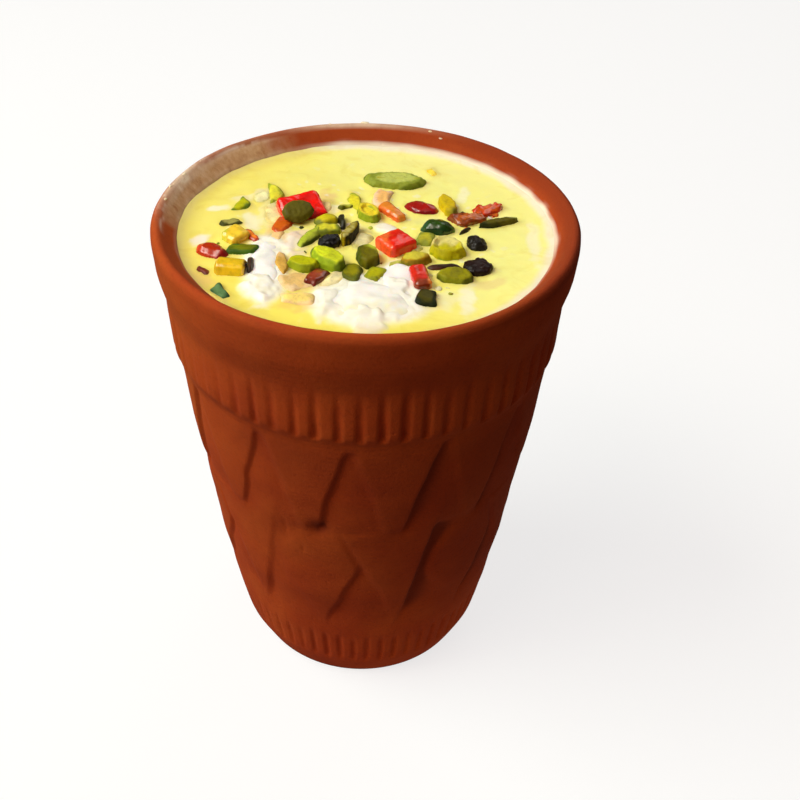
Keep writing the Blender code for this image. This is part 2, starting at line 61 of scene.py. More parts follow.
# --- cup: outside and inside as (height, radius)
OUTSIDE = (
    (0.0, 25.7), (2.1, 26.7), (5.9, 28.4), (8.6, 29.0), (16.1, 30.4), (21.5, 31.2), (32.2, 33.2),
    (42.9, 34.35), (53.7, 35.8), (64.4, 37.3), (75.1, 38.2), (80.8, 38.8), (82.5, 39.62),
    (85.9, 39.85), (93.6, 40.2), (96.7, 40.9), (99.7, 41.6), (104.3, 41.95),
)
LIP = (
    (104.3, 41.95), (105.1, 42.0), (105.8, 41.98), (106.4, 41.83), (106.85, 41.6), (107.15, 41.3),
    (107.3, 40.95), (107.28, 40.6), (107.12, 40.25), (106.85, 39.9), (106.5, 39.55), (106.1, 39.15),
    (105.65, 38.7), (105.2, 38.25), (104.75, 37.8), (104.3, 37.4), (103.9, 37.05), (103.4, 36.9),
)
INSIDE = ((102.0, 36.75), (99.0, 36.4), (75.0, 34.5), (32.0, 29.2), (9.6, 25.0), (6.8, 22.0))
SECTORS = 10               # a turned shape is spun as one sector, which is then repeated
CUP_COLUMNS = 600
# outside rows: from height, to height, spacing
CUP_ROWS = ((0.0, 6.8, 1.1), (6.8, 18.2, 0.95), (18.2, 54.0, 0.85), (54.0, 56.0, 0.5), (56.0, 80.0, 0.85),
            (80.0, 83.6, 0.36), (83.6, 95.0, 1.2), (95.0, 104.3, 1.3))

# --- relief of the cup
FLUTES = 60
FLUTE_TURN = -1.0
FLUTE_DEPTH = 0.54
RIBS = 60
RIB_TURN = 3.0
RIB_DEPTH = 0.55
REPEATS = 13
REPEAT = 360.0 / REPEATS
NICHE_TURN = -2.5
WAIST = 54.9               # between the upper and the lower tier of the lattice
LATTICE_TOP = 79.2
LATTICE_FOOT = 21.0
# Every raised field has a steep right edge and a flat left one, like folded paper.
# Sunken niche of the upper tier, from its middle: (height, angle) of its left and right edges.
NICHE_LEFT = ((54.5, -12.6), (66.0, -8.4), (79.0, -2.6))
NICHE_RIGHT = ((54.5, 10.6), (79.0, 1.0))
# raised blade of the lower tier, hanging from the waist, from its tip
BLADE_LEFT = ((22.0, -1.0), (35.0, -8.0), (43.0, -14.0), (54.9, -22.0))
BLADE_RIGHT = ((22.5, -0.4), (26.0, 1.2), (30.0, 3.0), (36.0, 4.7), (40.0, 6.2), (45.0, 7.8), (50.0, 9.3),
               (56.0, 11.4), (64.5, 15.2))
BLADE_TOP = ((-30.0, 54.6), (-2.0, 54.9), (15.2, 64.4))      # (angle, height)
# raised pillow between two blades, from its tip
PILLOW_LEFT = ((22.5, -0.6), (32.0, -10.0), (35.0, -14.0), (38.0, -16.6), (42.0, -17.2), (46.0, -15.0),
               (50.0, -11.0), (56.0, -5.5))
PILLOW_RIGHT = ((23.0, -0.2), (28.0, 2.6), (32.0, 5.4), (36.0, 8.0), (40.0, 10.8), (43.0, 12.0),
                (55.0, 5.0))
TIP_TURN = 14.0            # tip of the blade that hangs right of the front niche
EDGE_SLANT = 0.92          # cosine of the edges' lean
# the niches in front have depths of their own, and a left wall that falls within this many mm
FRONT_DEPTHS = {0: 1.0, 1: 1.45, REPEATS - 1: 0.6}
FRONT_WALL = 0.8
RUBBED_TURN, RUBBED_WIDTH, RUBBED_SHARE = -50.0, 26.0, 0.72     # flutes and ribs are worn down here
SHALLOW_TURN = -33.0       # the lower tier's fields stand less proud round here
PIT_TURN, PIT_HEIGHT = -12.3, 54.9      # from a niche's middle: a pit at the foot of its left edge
PIT_WIDTH, PIT_REACH = 2.9, 2.1         # in degrees and in mm
PIT_DEPTH = 0.95           # of the pit in front; the others are faint

# --- drink
LEVEL = 103.4
WALL_RADIUS = 36.9         # inside of the cup at the level
CLIMB = 0.5                # the drink climbs this far up the wall
DRINK_COLUMNS = 540
RING_STEP = 0.42           # between two rings of the surface
DRINK_OVERLAP = 0.35       # the surface runs this far into the wall, so no gap shows
# the drink's colours: darker and more yellow at its left, as painted shade from the lip, and paler at its
# right; towards the near and the far side; in specks; darker close round the pieces, as painted contact
# shade; whiter by the cream; and along the wall, paler at the right and back and darker at the left and
# front, as a painted shadow of the lip
DRINK_LEFT_SHADED, DRINK_RIGHT, DRINK_NEAR, DRINK_FAR = "#f9ee7a", "#fdfc94", "#faec5e", "#fffea4"
DRINK_SPECKS, DRINK_CONTACT_SHADE, DRINK_BY_CREAM = "#fffef4", "#e6d458", "#fffef2"
DRINK_RIM, DRINK_LIP_SHADOW = "#f8eee0", "#dcc65a"
DRINK_WALL = ((102.0, 36.6), (99.0, 36.2), (75.0, 34.2), (32.0, 28.9), (9.6, 24.7), (7.1, 21.9))

# patches of other colours in the drink: (x, y), (half length, half width), heading, colour, strength
PATCHES = (
    ((-19.3, -14.0), (11.5, 3.4), 92, "#fffefa", 1.0), ((-18.8, -21.0), (4.6, 4.2), 90, "#fffefa", 0.9),
    ((-14.6, -5.0), (6.0, 2.8), 100, "#fff0ec", 0.9), ((-12.6, -1.6), (3.0, 2.0), 0, "#f6d8c8", 0.7),
    ((0.5, -24.5), (10.5, 7.0), 4, "#fffdec", 0.9), ((0.4, -31.4), (5.6, 3.2), 88, "#fffbdc", 0.95),
    ((5.8, -19.0), (7.0, 3.0), 85, "#fffefc", 1.0),
    ((-8.0, -25.5), (6.0, 3.0), 80, "#fffdf0", 0.9), ((0.0, -34.4), (2.4, 2.6), 90, "#fff3ea", 0.7),
    ((3.6, 0.9), (3.0, 2.2), -30, "#fffdf6", 0.9), ((-4.4, 1.0), (3.2, 1.8), 20, "#fff6ee", 0.8),
    ((-6.4, 8.6), (2.6, 2.0), 0, "#fff4ee", 0.6), ((-32.4, -4.4), (2.7, 1.6), 60, "#fff6f4", 0.8),
    ((-30.0, 8.0), (2.4, 1.3), 10, "#fffdf0", 0.7), ((-23.0, 3.0), (4.4, 2.0), 110, "#fffdf2", 0.6),
    ((-21.4, 14.0), (2.4, 1.6), 90, "#fff8f2", 0.7), ((-25.0, 12.2), (3.2, 1.6), 20, "#fff8e8", 0.5),
    ((-19.4, 6.4), (7.0, 2.4), 92, "#f2eec6", 0.7), ((-17.8, -2.6), (3.6, 2.4), 95, "#f7cf90", 0.75),
    ((-8.8, 12.2), (4.6, 2.3), 80, "#eecb90", 0.6), ((-11.2, -19.4), (4.4, 3.0), 10, "#f6cf94", 0.7),
    ((-11.4, -26.4), (4.8, 2.6), -5, "#fbd071", 0.7), ((23.0, -18.4), (4.0, 1.6), 30, "#ecd48c", 0.6),
    ((20.0, 15.6), (4.0, 1.2), 80, "#fffef0", 0.5), ((18.6, -24.0), (5.4, 1.6), 85, "#fffef2", 0.6),
    ((14.2, -24.4), (3.2, 2.4), 90, "#fdf8cc", 0.6), ((33.0, -3.0), (8.0, 1.4), 88, "#fffce0", 0.6),
    ((11.0, -5.0), (3.4, 2.6), 80, "#dfe08c", 0.8), ((-16.8, 1.6), (3.2, 2.0), 60, "#f0a070", 0.5),
    ((2.4, 9.2), (3.4, 2.6), 80, "#f6c7a0", 0.7), ((-1.0, -1.0), (3.4, 3.0), 70, "#f1e2a4", 0.7),
    ((-30.4, -18.4), (4.0, 1.8), -50, "#f3c88a", 0.6), ((8.8, -12.8), (2.4, 1.8), 0, "#fbe6c8", 0.7),
    ((-14.4, -15.2), (3.0, 2.2), 90, "#f3d29c", 0.7), ((13.4, 3.8), (3.4, 2.2), 0, "#e9ea9a", 0.5),
)

# --- small cut pieces in the drink
# shape, (x, y), (length, width), heading, top over the drink, colour, colour of the edge or end
BITS = (
    ("sliver", (-11.0, -3.4), (8.6, 2.7), 62, 1.3, "#b5c336", "#4a5314"),
    ("chip", (-7.6, -0.9), (5.0, 2.8), 8, 1.5, "#d9d335", "#717a20"),
    ("chip", (-2.6, -16.2), (5.6, 3.3), 80, 1.2, "#8a850a", "#5c6216"),
    ("chip", (1.7, -16.4), (4.6, 3.4), 70, 1.0, "#b4b20d", "#949920"),
    ("dark", (-4.9, 2.4), (4.6, 1.3), 95, 1.7, "#2a2a10", "#151208"),
    ("sliver", (-2.5, 11.6), (8.2, 2.6), 100, 0.9, "#e6dc2f", "#b1b732"),
    ("chip", (-4.3, 9.0), (3.2, 1.2), 30, 0.9, "#c1c440", "#606214"),
    ("chip", (3.2, 13.0), (6.2, 3.4), 82, 0.9, "#fac171", "#f6cfae"),
    ("rough", (20.6, 4.6), (6.4, 3.4), 20, 1.3, "#c4621c", "#8a3c10"),
    ("rough", (24.9, 8.7), (6.4, 3.0), 32, 1.1, "#d9560c", "#d23a14"),
    ("rough", (22.9, 6.9), (3.6, 1.6), 60, 1.1, "#dc5a20", "#a84414"),
    ("dark", (15.0, -13.4), (6.6, 1.5), 8, 0.9, "#2f1601", "#4a2010"),
    ("chip", (10.9, -24.4), (4.4, 3.4), 82, 1.3, "#4a460c", "#1c240c"),
    ("chip", (-12.6, -19.3), (6.0, 4.8), 25, 0.9, "#ecc57a", "#f8d6a4"),
    ("chip", (-12.2, -24.9), (6.4, 3.4), -8, 0.8, "#f9dc7a", "#f9d49a"),
    ("fruit", (-9.2, -17.8), (5.6, 2.7), 62, 1.2, "#a8401f", "#74281a"),
    ("crescent", (-25.6, 9.0), (5.8, 2.8), 66, 1.0, "#bdbe13", "#627f20"),
    ("chip", (-26.9, 1.9), (4.2, 1.9), 25, 0.8, "#a8a458", "#404618"),
    ("crescent", (-19.2, 14.0), (8.4, 3.0), 96, 1.0, "#dcd63b", "#94a228"),
    ("chip", (-26.4, -23.4), (4.8, 2.4), -52, 0.8, "#5c8050", "#2e5034"),
    ("dark", (-30.4, -16.0), (3.0, 1.5), -32, 0.8, "#7a270a", "#5e2018"),
    ("chip", (13.8, 24.8), (3.4, 1.7), 110, 0.5, "#ffe350", "#fed43c"),
    ("fruit", (-22.4, -3.2), (4.4, 1.2), -58, 0.9, "#fc882c", "#b83c1e"),
    ("fruit", (-16.9, 0.9), (4.6, 3.0), 62, 0.8, "#e26b14", "#d25a20"),
    ("dark", (-21.7, -14.4), (5.0, 0.9), 92, 1.6, "#4a2c18", "#33200f"),
    ("chip", (-23.6, -8.4), (5.6, 3.3), -8, 1.1, "#717807", "#406218"),
    ("sliver", (-8.0, 2.8), (4.8, 3.2), 0, 1.8, "#ccbe18", "#787f2a"),
    ("pale", (-6.0, -18.4), (7.0, 3.0), 58, 0.7, "#f4e6b0", "#ecd898"),
    ("pale", (-0.9, -4.4), (6.6, 3.6), 74, 0.6, "#efe8ae", "#c8c06a"),
    ("chip", (11.6, -3.2), (5.2, 3.2), 78, 0.9, "#bcb62d", "#8f9938"),
    ("pale", (9.4, -6.6), (3.2, 2.4), 20, 0.6, "#e6e49a", "#c4c25c"),
    ("pale", (-18.8, 6.4), (8.4, 3.6), 100, 0.6, "#f0e8a8", "#e0cc80"),
    ("pale", (-21.6, 12.6), (4.6, 3.2), 70, 0.7, "#f2ecb4", "#dcd88c"),
    ("pale", (-17.8, -2.8), (4.6, 2.8), 80, 0.6, "#fcd391", "#efc27e"),
    ("pale", (-8.4, 9.4), (5.0, 2.6), 76, 0.5, "#fee69f", "#ecca8c"),
    ("dark", (19.6, 0.2), (3.6, 0.7), 50, 0.9, "#2d270b", "#1c1a0c"),
    ("chip", (5.6, -12.6), (2.6, 2.0), 10, 0.8, "#c9c85a", "#afb138"),
)
CRUMBS = 90                # shared out among the beds in turn
# crumbs lie within a few millimetres of a piece: (x, y), reach, colours
CRUMB_BEDS = (
    ((-4.0, -4.0), 9.0, ("#b9c23c", "#e8e49a", "#5c6018", "#f4e2b0")),
    ((12.0, -6.0), 7.0, ("#a8b036", "#e0dc8c", "#4c5216", "#d8c878")),
    ((21.5, 4.0), 4.2, ("#c8641c", "#f4ede0", "#e8481c", "#3c4218")),
    ((25.5, 4.6), 3.0, ("#f4ede0", "#56602a", "#c8641c", "#e0522a")),
    ((-13.0, -20.0), 5.0, ("#f3c88a", "#e8a860", "#f8e2b8", "#a8442a")),
    ((-24.0, -6.0), 6.0, ("#f0c040", "#fff6e8", "#6f8a24", "#d8502c")),
    ((-10.0, 0.0), 7.0, ("#8c9a24", "#e4d8a0", "#3c4010", "#ecd8b0")),
    ((6.0, -14.0), 6.0, ("#f4eeb8", "#c0c436", "#8a5c20", "#e0dc8c")),
    ((15.0, -19.0), 6.0, ("#f8f2c0", "#c8c060", "#ece4a8", "#a4a640")),
)
BIT_DRAUGHT = 1.1          # how far a small piece reaches under its top's height over the level
BIT_HALF = (0.54, 0.55)    # its half sizes, as shares of the length and width above
# drops of drink on the lip: angle, radius, height, half width
SPLASHES = ((-179.0, 41.2, 107.15, 0.62), (160.0, 40.3, 107.1, 0.34), (156.0, 39.4, 106.4, 0.26),
            (-168.0, 41.0, 107.2, 0.26), (-112.0, 40.6, 107.2, 0.34), (-104.0, 40.9, 107.25, 0.28),
            (-97.0, 40.2, 107.05, 0.3), (-121.0, 40.8, 107.25, 0.22))

# --- toppings that stand for a CAD node of their own
# CAD node: finish, colour, coats.  A coat is a colour laid where the surface faces a way ("face") or where
# it lies towards an end of the piece ("end"), from a first to a last value of that cosine or share, or all
# round its edge ("rim"), from a first to a last share of the way out.
# The "face" coats are painted light and shade: most darken faces that look forward, down or away from the
# lamps, and some lighten faces that look up or towards them.
TOPPINGS = {
    "fruit_red_back": ("candied_fruit", "#fb1408", (
        ("#c81c0c", "face", (0.4, -0.9, -0.1), 0.3, 0.9), ("#ee6a34", "end", (-0.8, -0.7, 0.0), 0.95, 1.25),
        ("#c41a0c", "end", (1.0, 0.3, 0.0), 0.8, 1.1))),
    "fruit_red_middle": ("candied_fruit", "#f02006", (
        ("#ff7434", "end", (-1.0, 0.2, 0.0), 0.15, 0.5), ("#ff5a28", "face", (-0.8, -0.5, 0.2), 0.4, 0.8),
        ("#f62c14", "face", (0.6, -0.8, 0.0), 0.3, 0.8))),
    "fruit_red_front": ("candied_fruit", "#dc2c1a", (
        ("#8c3412", "end", (0.1, -1.0, 0.0), 0.3, 0.8), ("#f08a34", "end", (1.0, 0.2, 0.0), 0.45, 0.8),
        ("#f8b73c", "end", (0.8, 0.9, 0.1), 1.0, 1.3))),
    "fruit_yellow_back": ("candied_fruit", "#f7d13a", (
        ("#d7d638", "end", (-1.0, 0.0, 0.0), 0.4, 0.9), ("#f8c030", "face", (0.5, -0.8, 0.0), 0.4, 0.8))),
    "fruit_yellow_front": ("candied_fruit", "#efc71a", (
        ("#dbb318", "end", (-1.0, -0.3, 0.0), 0.6, 1.1), ("#5c3c14", "end", (0.0, 1.0, 0.2), 0.8, 1.0),
        ("#4a2c14", "end", (1.0, 0.0, 0.0), 0.82, 0.98))),
    "fruit_orange": ("candied_fruit", "#e7892c", (
        ("#f4a070", "end", (-0.6, 0.8, 0.0), 0.8, 1.2), ("#e86420", "face", (-0.6, -0.7, 0.0), 0.4, 0.9))),
    "fruit_red_right": ("candied_fruit", "#a6160e", (
        ("#7c0c12", "face", (0.0, -1.0, -0.1), 0.3, 0.9), ("#8c1016", "end", (-1.0, 0.4, 0.0), 0.7, 1.1))),
    "fruit_red_left": ("candied_fruit", "#bc3206", (
        ("#de4628", "end", (-1.0, 0.6, 0.2), 0.5, 1.1), ("#8c0e10", "end", (1.0, -0.5, 0.0), 0.4, 1.0))),
    # the grey on the raisin's top faces is a painted sheen
    "raisin_middle": ("raisin", "#020204", (("#26262e", "face", (0.0, 0.0, 1.0), 0.8, 1.0),)),
    "raisin_right_back": ("raisin", "#120902", (("#16140a", "end", (0.5, -0.8, 0.0), 0.0, 0.8),)),
    "raisin_right_front": ("raisin", "#1f0602", (("#120a08", "end", (-0.6, -0.6, 0.0), 0.0, 0.9),)),
    "pistachio_dome": ("glazed_nut", "#274808", (
        ("#1a3c1a", "face", (0.0, -1.0, -0.2), 0.3, 0.8), ("#517a22", "end", (1.0, -0.2, 0.0), 0.7, 1.0),
        ("#2c5a3c", "end", (-1.0, 0.3, 0.0), 0.5, 0.9))),
    "pistachio_slice": ("nut_flesh", "#a8a31a", (
        ("#c3cc66", "face", (0.0, 0.0, 1.0), 0.82, 0.97), ("#96a42c", "end", (-1.0, 0.15, 0.0), 0.42, 0.72),
        ("#8f9c30", "rim", None, 0.55, 0.76),
        ("#606d14", "rim", None, 0.90, 1.02))),
    "pistachio_cup": ("nut_flesh", "#beb50d", (
        ("#dcd27e", "end", (-0.1, 0.5, 0.35), 0.15, 0.45), ("#afb71e", "end", (1.0, 0.3, 0.0), 0.65, 1.0),
        ("#99a21c", "face", (-0.3, -0.9, -0.4), 0.75, 0.95))),
    "pistachio_on_fruit": ("nut_flesh", "#605912", (("#626418", "end", (-0.6, 0.6, 0.0), 0.2, 0.9),)),
    "pistachio_fork_right": ("nut_flesh", "#d3de26", (
        ("#99b31e", "face", (-0.6, -0.7, 0.0), 0.3, 0.8), ("#627614", "rim", None, 0.86, 1.04))),
    "pistachio_fork_left": ("nut_flesh", "#bec009", (
        ("#96a41c", "face", (0.0, -1.0, 0.0), 0.3, 0.8), ("#626b14", "rim", None, 0.86, 1.04))),
    "pistachio_centre": ("nut_flesh", "#6c6603", (
        ("#c4d23a", "end", (0.6, 0.9, 0.3), 0.5, 0.95), ("#43510c", "end", (-1.0, -0.1, 0.0), 0.3, 0.9),
        ("#343c0c", "rim", None, 0.9, 1.05))),
    "pistachio_sliver": ("nut_flesh", "#938009", (
        ("#2c2a10", "end", (0.3, 1.0, 0.2), 0.75, 1.1), ("#2a2810", "face", (1.0, -0.3, 0.2), 0.5, 0.85),
        ("#b9b064", "face", (-0.2, -0.4, 0.9), 0.8, 0.97))),
    "pistachio_curl": ("nut_flesh", "#e5ce2c", (
        ("#96a81e", "face", (-0.6, -0.8, -0.1), 0.35, 0.8), ("#40480e", "end", (0.8, -1.0, -0.2), 1.0, 1.3),
        ("#85971c", "rim", None, 0.85, 1.05))),
    "pistachio_wedge": ("nut_flesh", "#b38809", (
        ("#d0c43c", "face", (0.0, 0.0, 1.0), 0.8, 0.97), ("#8f7a1c", "face", (0.0, -1.0, -0.2), 0.4, 0.8),
        ("#746d14", "rim", None, 0.88, 1.04))),
    "pistachio_right": ("nut_flesh", "#8b8706", (
        ("#858c18", "face", (-0.4, -0.9, -0.2), 0.3, 0.8), ("#b2b334", "end", (-0.6, 0.6, 0.3), 0.6, 1.0),
        ("#515710", "rim", None, 0.86, 1.02))),
    "pistachio_dark_sliver": ("nut_flesh", "#5a530c", (
        ("#262c10", "end", (0.0, -1.0, -0.2), 0.2, 0.8), ("#859030", "end", (0.2, 1.0, 0.3), 0.7, 1.1))),
    "almond_leaf": ("nut_flesh", "#d4b80f", (
        ("#c09d1f", "end", (0.8, -0.3, 0.0), 0.3, 0.8), ("#837f20", "end", (0.3, -1.0, 0.0), 0.6, 1.0))),
    "almond_flake": ("nut_flesh", "#cfa249", (
        ("#d2a240", "end", (-0.4, -0.8, 0.0), 0.4, 0.9), ("#f0cc98", "end", (0.0, 1.0, 0.0), 0.3, 0.9))),
    "cream_front": ("cream", "#fffdf6", (("#fbf4c8", "end", (0.0, -0.8, 0.0), 0.0, 0.7),)),
    "cream_middle": ("cream", "#fffdfc", ()),
    "cream_left": ("cream", "#fffdfa", (("#fff2ec", "end", (0.7, 0.8, 0.0), 0.7, 1.2),)),
}
# finish: (voxel, smoothing rounds), ((noise size, strength), ...), push outwards, all in mm
SURFACES = {
    "candied_fruit": ((0.20, 2), ((3.2, 0.26), (1.0, 0.09)), 0.10),
    "glazed_nut": ((0.18, 2), ((2.4, 0.26), (0.8, 0.08)), 0.10),
    "nut_flesh": ((0.17, 1), ((2.6, 0.30), (0.8, 0.12)), 0.22),
    "raisin": ((0.17, 2), ((2.0, 0.40), (0.7, 0.12)), 0.10),
    "cream": ((0.26, 5), ((3.6, 0.30), (1.3, 0.07)), 0.10),
}
CREAM_KEPT = 0.78          # share of its height over the level that cream keeps
# lumps that stand out sideways: node: ((x, y), reach, push)
SWELLS = {
    "cream_left": (((-18.9, -21.4), 3.2, 1.1), ((-18.9, -17.4), 2.3, 1.0), ((-18.6, -12.0), 3.0, 0.5)),
    "cream_middle": (((6.0, -16.6), 4.6, 1.5),),
    "pistachio_dome": (((14.0, 0.6), 4.0, 0.3),),
    "raisin_right_back": (((21.2, -4.0), 4.0, 0.35),),
    "raisin_right_front": (((20.0, -13.6), 4.0, 0.5),),
    "pistachio_right": (((16.4, -17.2), 4.0, 0.3),),
}


# === small tools ===
def linear(hex_colour):
    """An sRGB hex colour as linear red, green, blue."""
    shares = [int(hex_colour[place:place + 2], 16) / 255 for place in (1, 3, 5)]
    return tuple(share / 12.92 if share <= 0.04045 else ((share + 0.055) / 1.055) ** 2.4
                 for share in shares)


def ease(start, end, value):
    """0 before start, 1 after end, and a soft S between them; value may be an array."""
    share = np.clip((value - start) / (end - start), 0.0, 1.0)
    return share * share * (3.0 - 2.0 * share)


def mix(first, second, share):
    """Blend of two arrays or colours."""
    return first + (second - first) * share


def turned_from(angle, start):
    """How far an angle lies beyond a start, between -180 and 180 degrees."""
    return (angle - start + 180.0) % 360.0 - 180.0


def laid_over(colours, colour, share):
    """Colours under a hex colour that covers each of them by its share."""
    return mix(colours, np.array(linear(colour)), share[:, None])


def edge_at(points, value):
    """Straight-line reading of ((where, what), ...)."""
    return np.interp(value, [point[0] for point in points], [point[1] for point in points])


def wander(angle, size, seed, reach=1.0):
    """A smooth random wave round the cup, with bumps about size degrees wide."""
    draw = random.Random(f"{SEED} {seed}")
    count = max(2, round(360.0 / size))
    total = np.zeros_like(angle)
    for order in range(1, count + 1):
        weight = draw.gauss(0.0, 1.0)
        total += weight * np.cos(np.radians(order * angle) + draw.uniform(0.0, math.tau))
    return reach * total / math.sqrt(count)


def noise_at(spots, size, seed):
    """Perlin noise, about -1 to 1, at each of many spots in mm."""
    shift = Vector((17.3, -9.1, 5.7)) * seed
    return np.array([noise.noise(Vector(spot) / size + shift) for spot in spots])


def read_spots(mesh):
    spots = np.empty(len(mesh.vertices) * 3)
    mesh.vertices.foreach_get("co", spots)
    return spots.reshape(-1, 3)


def write_spots(mesh, spots):
    mesh.vertices.foreach_set("co", np.ascontiguousarray(spots, dtype=np.float32).ravel())
    mesh.update()


def read_normals(mesh):
    normals = np.empty(len(mesh.vertices) * 3)
    mesh.vertices.foreach_get("normal", normals)
    return normals.reshape(-1, 3)


def mesh_from(bm, name):
    """The mesh that a finished bmesh holds."""
    mesh = bpy.data.meshes.new(name)
    bm.to_mesh(mesh)
    bm.free()
    return mesh


def placed(name, data):
    """A new object of the scene."""
    made = bpy.data.objects.new(name, data)
    bpy.context.scene.collection.objects.link(made)
    return made


def hide_from(made, *rays):
    for ray in rays:
        setattr(made, "visible_" + ray, False)


def keep_share(mesh, name, values):
    """Store one number a vertex for a material to read."""
    mesh.attributes.new(name, "FLOAT", "POINT").data.foreach_set("value", np.asarray(values, np.float32))


def keep_colour(mesh, name, colours):
    """Store one linear colour a vertex for a material to read."""
    rows = np.ones((len(colours), 4), np.float32)
    rows[:, :3] = colours
    mesh.attributes.new(name, "FLOAT_COLOR", "POINT").data.foreach_set("color", rows.ravel())


def piece_from(mesh, name, material, replaces=None):
    """A finished mesh in mm becomes a piece of the dressed cup, in metres."""
    mesh.transform(Matrix.Scale(MM, 4))
    mesh.shade_smooth()
    mesh.materials.clear()
    mesh.materials.append(material)
    mesh.name = name
    made = placed(name, mesh)
    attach(made, "root")
    if replaces:
        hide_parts(replaces)
    return made


def spun(profile, columns):
    """Turn an outline of (radius, height), from axis to axis, into a closed mesh with its faces outwards."""
    bm = bmesh.new()
    points = [bm.verts.new((radius, 0.0, height)) for radius, height in profile]
    edges = [bm.edges.new(pair) for pair in zip(points, points[1:])]
    turn = dict(axis=(0, 0, 1), cent=(0, 0, 0), dvec=(0, 0, 0))
    bmesh.ops.spin(bm, geom=points + edges, angle=math.tau / SECTORS, steps=columns // SECTORS, **turn)
    bmesh.ops.spin(bm, geom=bm.verts[:] + bm.edges[:] + bm.faces[:], use_duplicate=True,
                   angle=math.tau - math.tau / SECTORS, steps=SECTORS - 1, **turn)
    bmesh.ops.remove_doubles(bm, verts=bm.verts, dist=0.004)
    bmesh.ops.recalc_face_normals(bm, faces=bm.faces)
    return mesh_from(bm, "spun")


# === materials ===
def new_material(name):
    material = bpy.data.materials.new(name)
    material.use_nodes = True
    tree = material.node_tree
    return material, tree, tree.nodes["Principled BSDF"]


def set_inputs(node, **values):
    """Set inputs of a node by name, with _ for a space."""
    for name, value in values.items():
        node.inputs[name.replace("_", " ")].default_value = value


def add(tree, kind, settings=(), links=(), stops=(), **values):
    """Add a node: its settings, links as (input, node, output), a ramp's stops as (place, hex colour), and
    the values of its inputs by name."""
    made = tree.nodes.new("ShaderNode" + kind)
    for name, value in dict(settings).items():
        setattr(made, name, value)
    set_inputs(made, **values)
    for place, source, output in links:
        tree.links.new(source.outputs[output], made.inputs[place])
    while stops and len(made.color_ramp.elements) < len(stops):
        made.color_ramp.elements.new(0.5)
    for number, (where, colour) in enumerate(stops):
        made.color_ramp.elements[number].position = where
        made.color_ramp.elements[number].color = (*linear(colour), 1.0)
    return made


def per_mm(size):
    """Scale of a texture whose features are about size millimetres, on coordinates in metres."""
    return 1.0 / (size * MM)


def make_terracotta():
    """Unglazed earthenware, thrown and stamped, then fired orange-brown: matt, faintly gritty, with fine
    turning lines, paler where it is rubbed, and greyish where drink has dried on it."""
    material, tree, shader = new_material("terracotta")
    coord = add(tree, "TexCoord")
    patches = add(tree, "TexNoise", links=[("Vector", coord, "Object")],
                  Scale=per_mm(26.0), Detail=4.0, Roughness=0.6)
    clay = add(tree, "ValToRGB", links=[("Fac", patches, "Fac")],
               stops=((0.30, "#a4380b"), (0.50, "#b4440e"), (0.72, "#c05416")))
    grit = add(tree, "TexNoise", links=[("Vector", coord, "Object")],
               Scale=per_mm(0.7), Detail=3.0, Roughness=0.7)
    grit_tone = add(tree, "ValToRGB", links=[("Fac", grit, "Fac")],
                    stops=((0.25, "#c0b0a0"), (0.5, "#ffffff"), (0.85, "#fff4ea")))
    gritty = add(tree, "Mix", {"data_type": "RGBA", "blend_type": "MULTIPLY"},
                 [("A", clay, "Color"), ("B", grit_tone, "Color")], Factor=0.45)
    streaks_place = add(tree, "Mapping", links=[("Vector", coord, "Object")], Scale=(1.0, 1.0, 0.22))
    spots = add(tree, "TexNoise", links=[("Vector", streaks_place, "Vector")],
                Scale=per_mm(2.2), Detail=5.0, Roughness=0.65)
    spots_edge = add(tree, "MapRange", links=[("Value", spots, "Fac")], From_Min=0.18, From_Max=0.42)
    film_tone = add(tree, "ValToRGB", links=[("Fac", spots, "Fac")],
                    stops=((0.32, "#b4865f"), (0.52, "#cca27a"), (0.74, "#dcbd9c")))
    # the coats: paler rubbed clay; darker clay where drink has been drawn in, which also carries painted
    # shade in the relief's hollows, its front pit, the body's front and right and the lip's right; dried
    # drink, broken into spots; and a wet edge
    coats = (("worn", "#cf6a26", None), ("soaked_and_shade", "#86300a", None), ("film", film_tone, spots_edge),
             ("wet", "#f4e6d4", None))
    coated = gritty
    for name, tone, broken in coats:
        share = add(tree, "Attribute", {"attribute_name": name})
        where = (share, "Fac")
        if broken:
            where = (add(tree, "Math", {"operation": "MULTIPLY"}, [(0, share, "Fac"), (1, broken, "Result")]),
                     "Value")
        coated = add(tree, "Mix", {"data_type": "RGBA"}, [("A", coated, 2), (0, *where)])
        if isinstance(tone, str):
            coated.inputs["B"].default_value = (*linear(tone), 1.0)
        else:
            tree.links.new(tone.outputs["Color"], coated.inputs["B"])
    tree.links.new(coated.outputs[2], shader.inputs["Base Color"])
    lines = add(tree, "TexWave", {"wave_type": "BANDS", "bands_direction": "Z"},
                [("Vector", coord, "Object")], Scale=math.tau / (20.0 * 1.3 * MM), Distortion=1.2,
                Detail=2.0, Detail_Scale=60.0)
    pits = add(tree, "TexVoronoi", links=[("Vector", coord, "Object")], Scale=per_mm(2.4))
    pit_depth = add(tree, "MapRange", links=[("Value", pits, "Distance")], From_Max=0.16)
    bump_lines = add(tree, "Bump", links=[("Height", lines, "Fac")], Strength=0.10, Distance=0.25 * MM)
    bump_pits = add(tree, "Bump", links=[("Height", pit_depth, "Result"), ("Normal", bump_lines, "Normal")],
                    Strength=0.35, Distance=0.2 * MM)
    bump_grit = add(tree, "Bump", links=[("Height", grit, "Fac"), ("Normal", bump_pits, "Normal")],
                    Strength=0.45, Distance=0.22 * MM)
    tree.links.new(bump_grit.outputs["Normal"], shader.inputs["Normal"])
    dried = add(tree, "Attribute", {"attribute_name": "film"})
    dull = add(tree, "MapRange", links=[("Value", dried, "Fac")], To_Min=0.88, To_Max=0.36)
    tree.links.new(dull.outputs["Result"], shader.inputs["Roughness"])
    set_inputs(shader, Specular_IOR_Level=0.27)
    return material


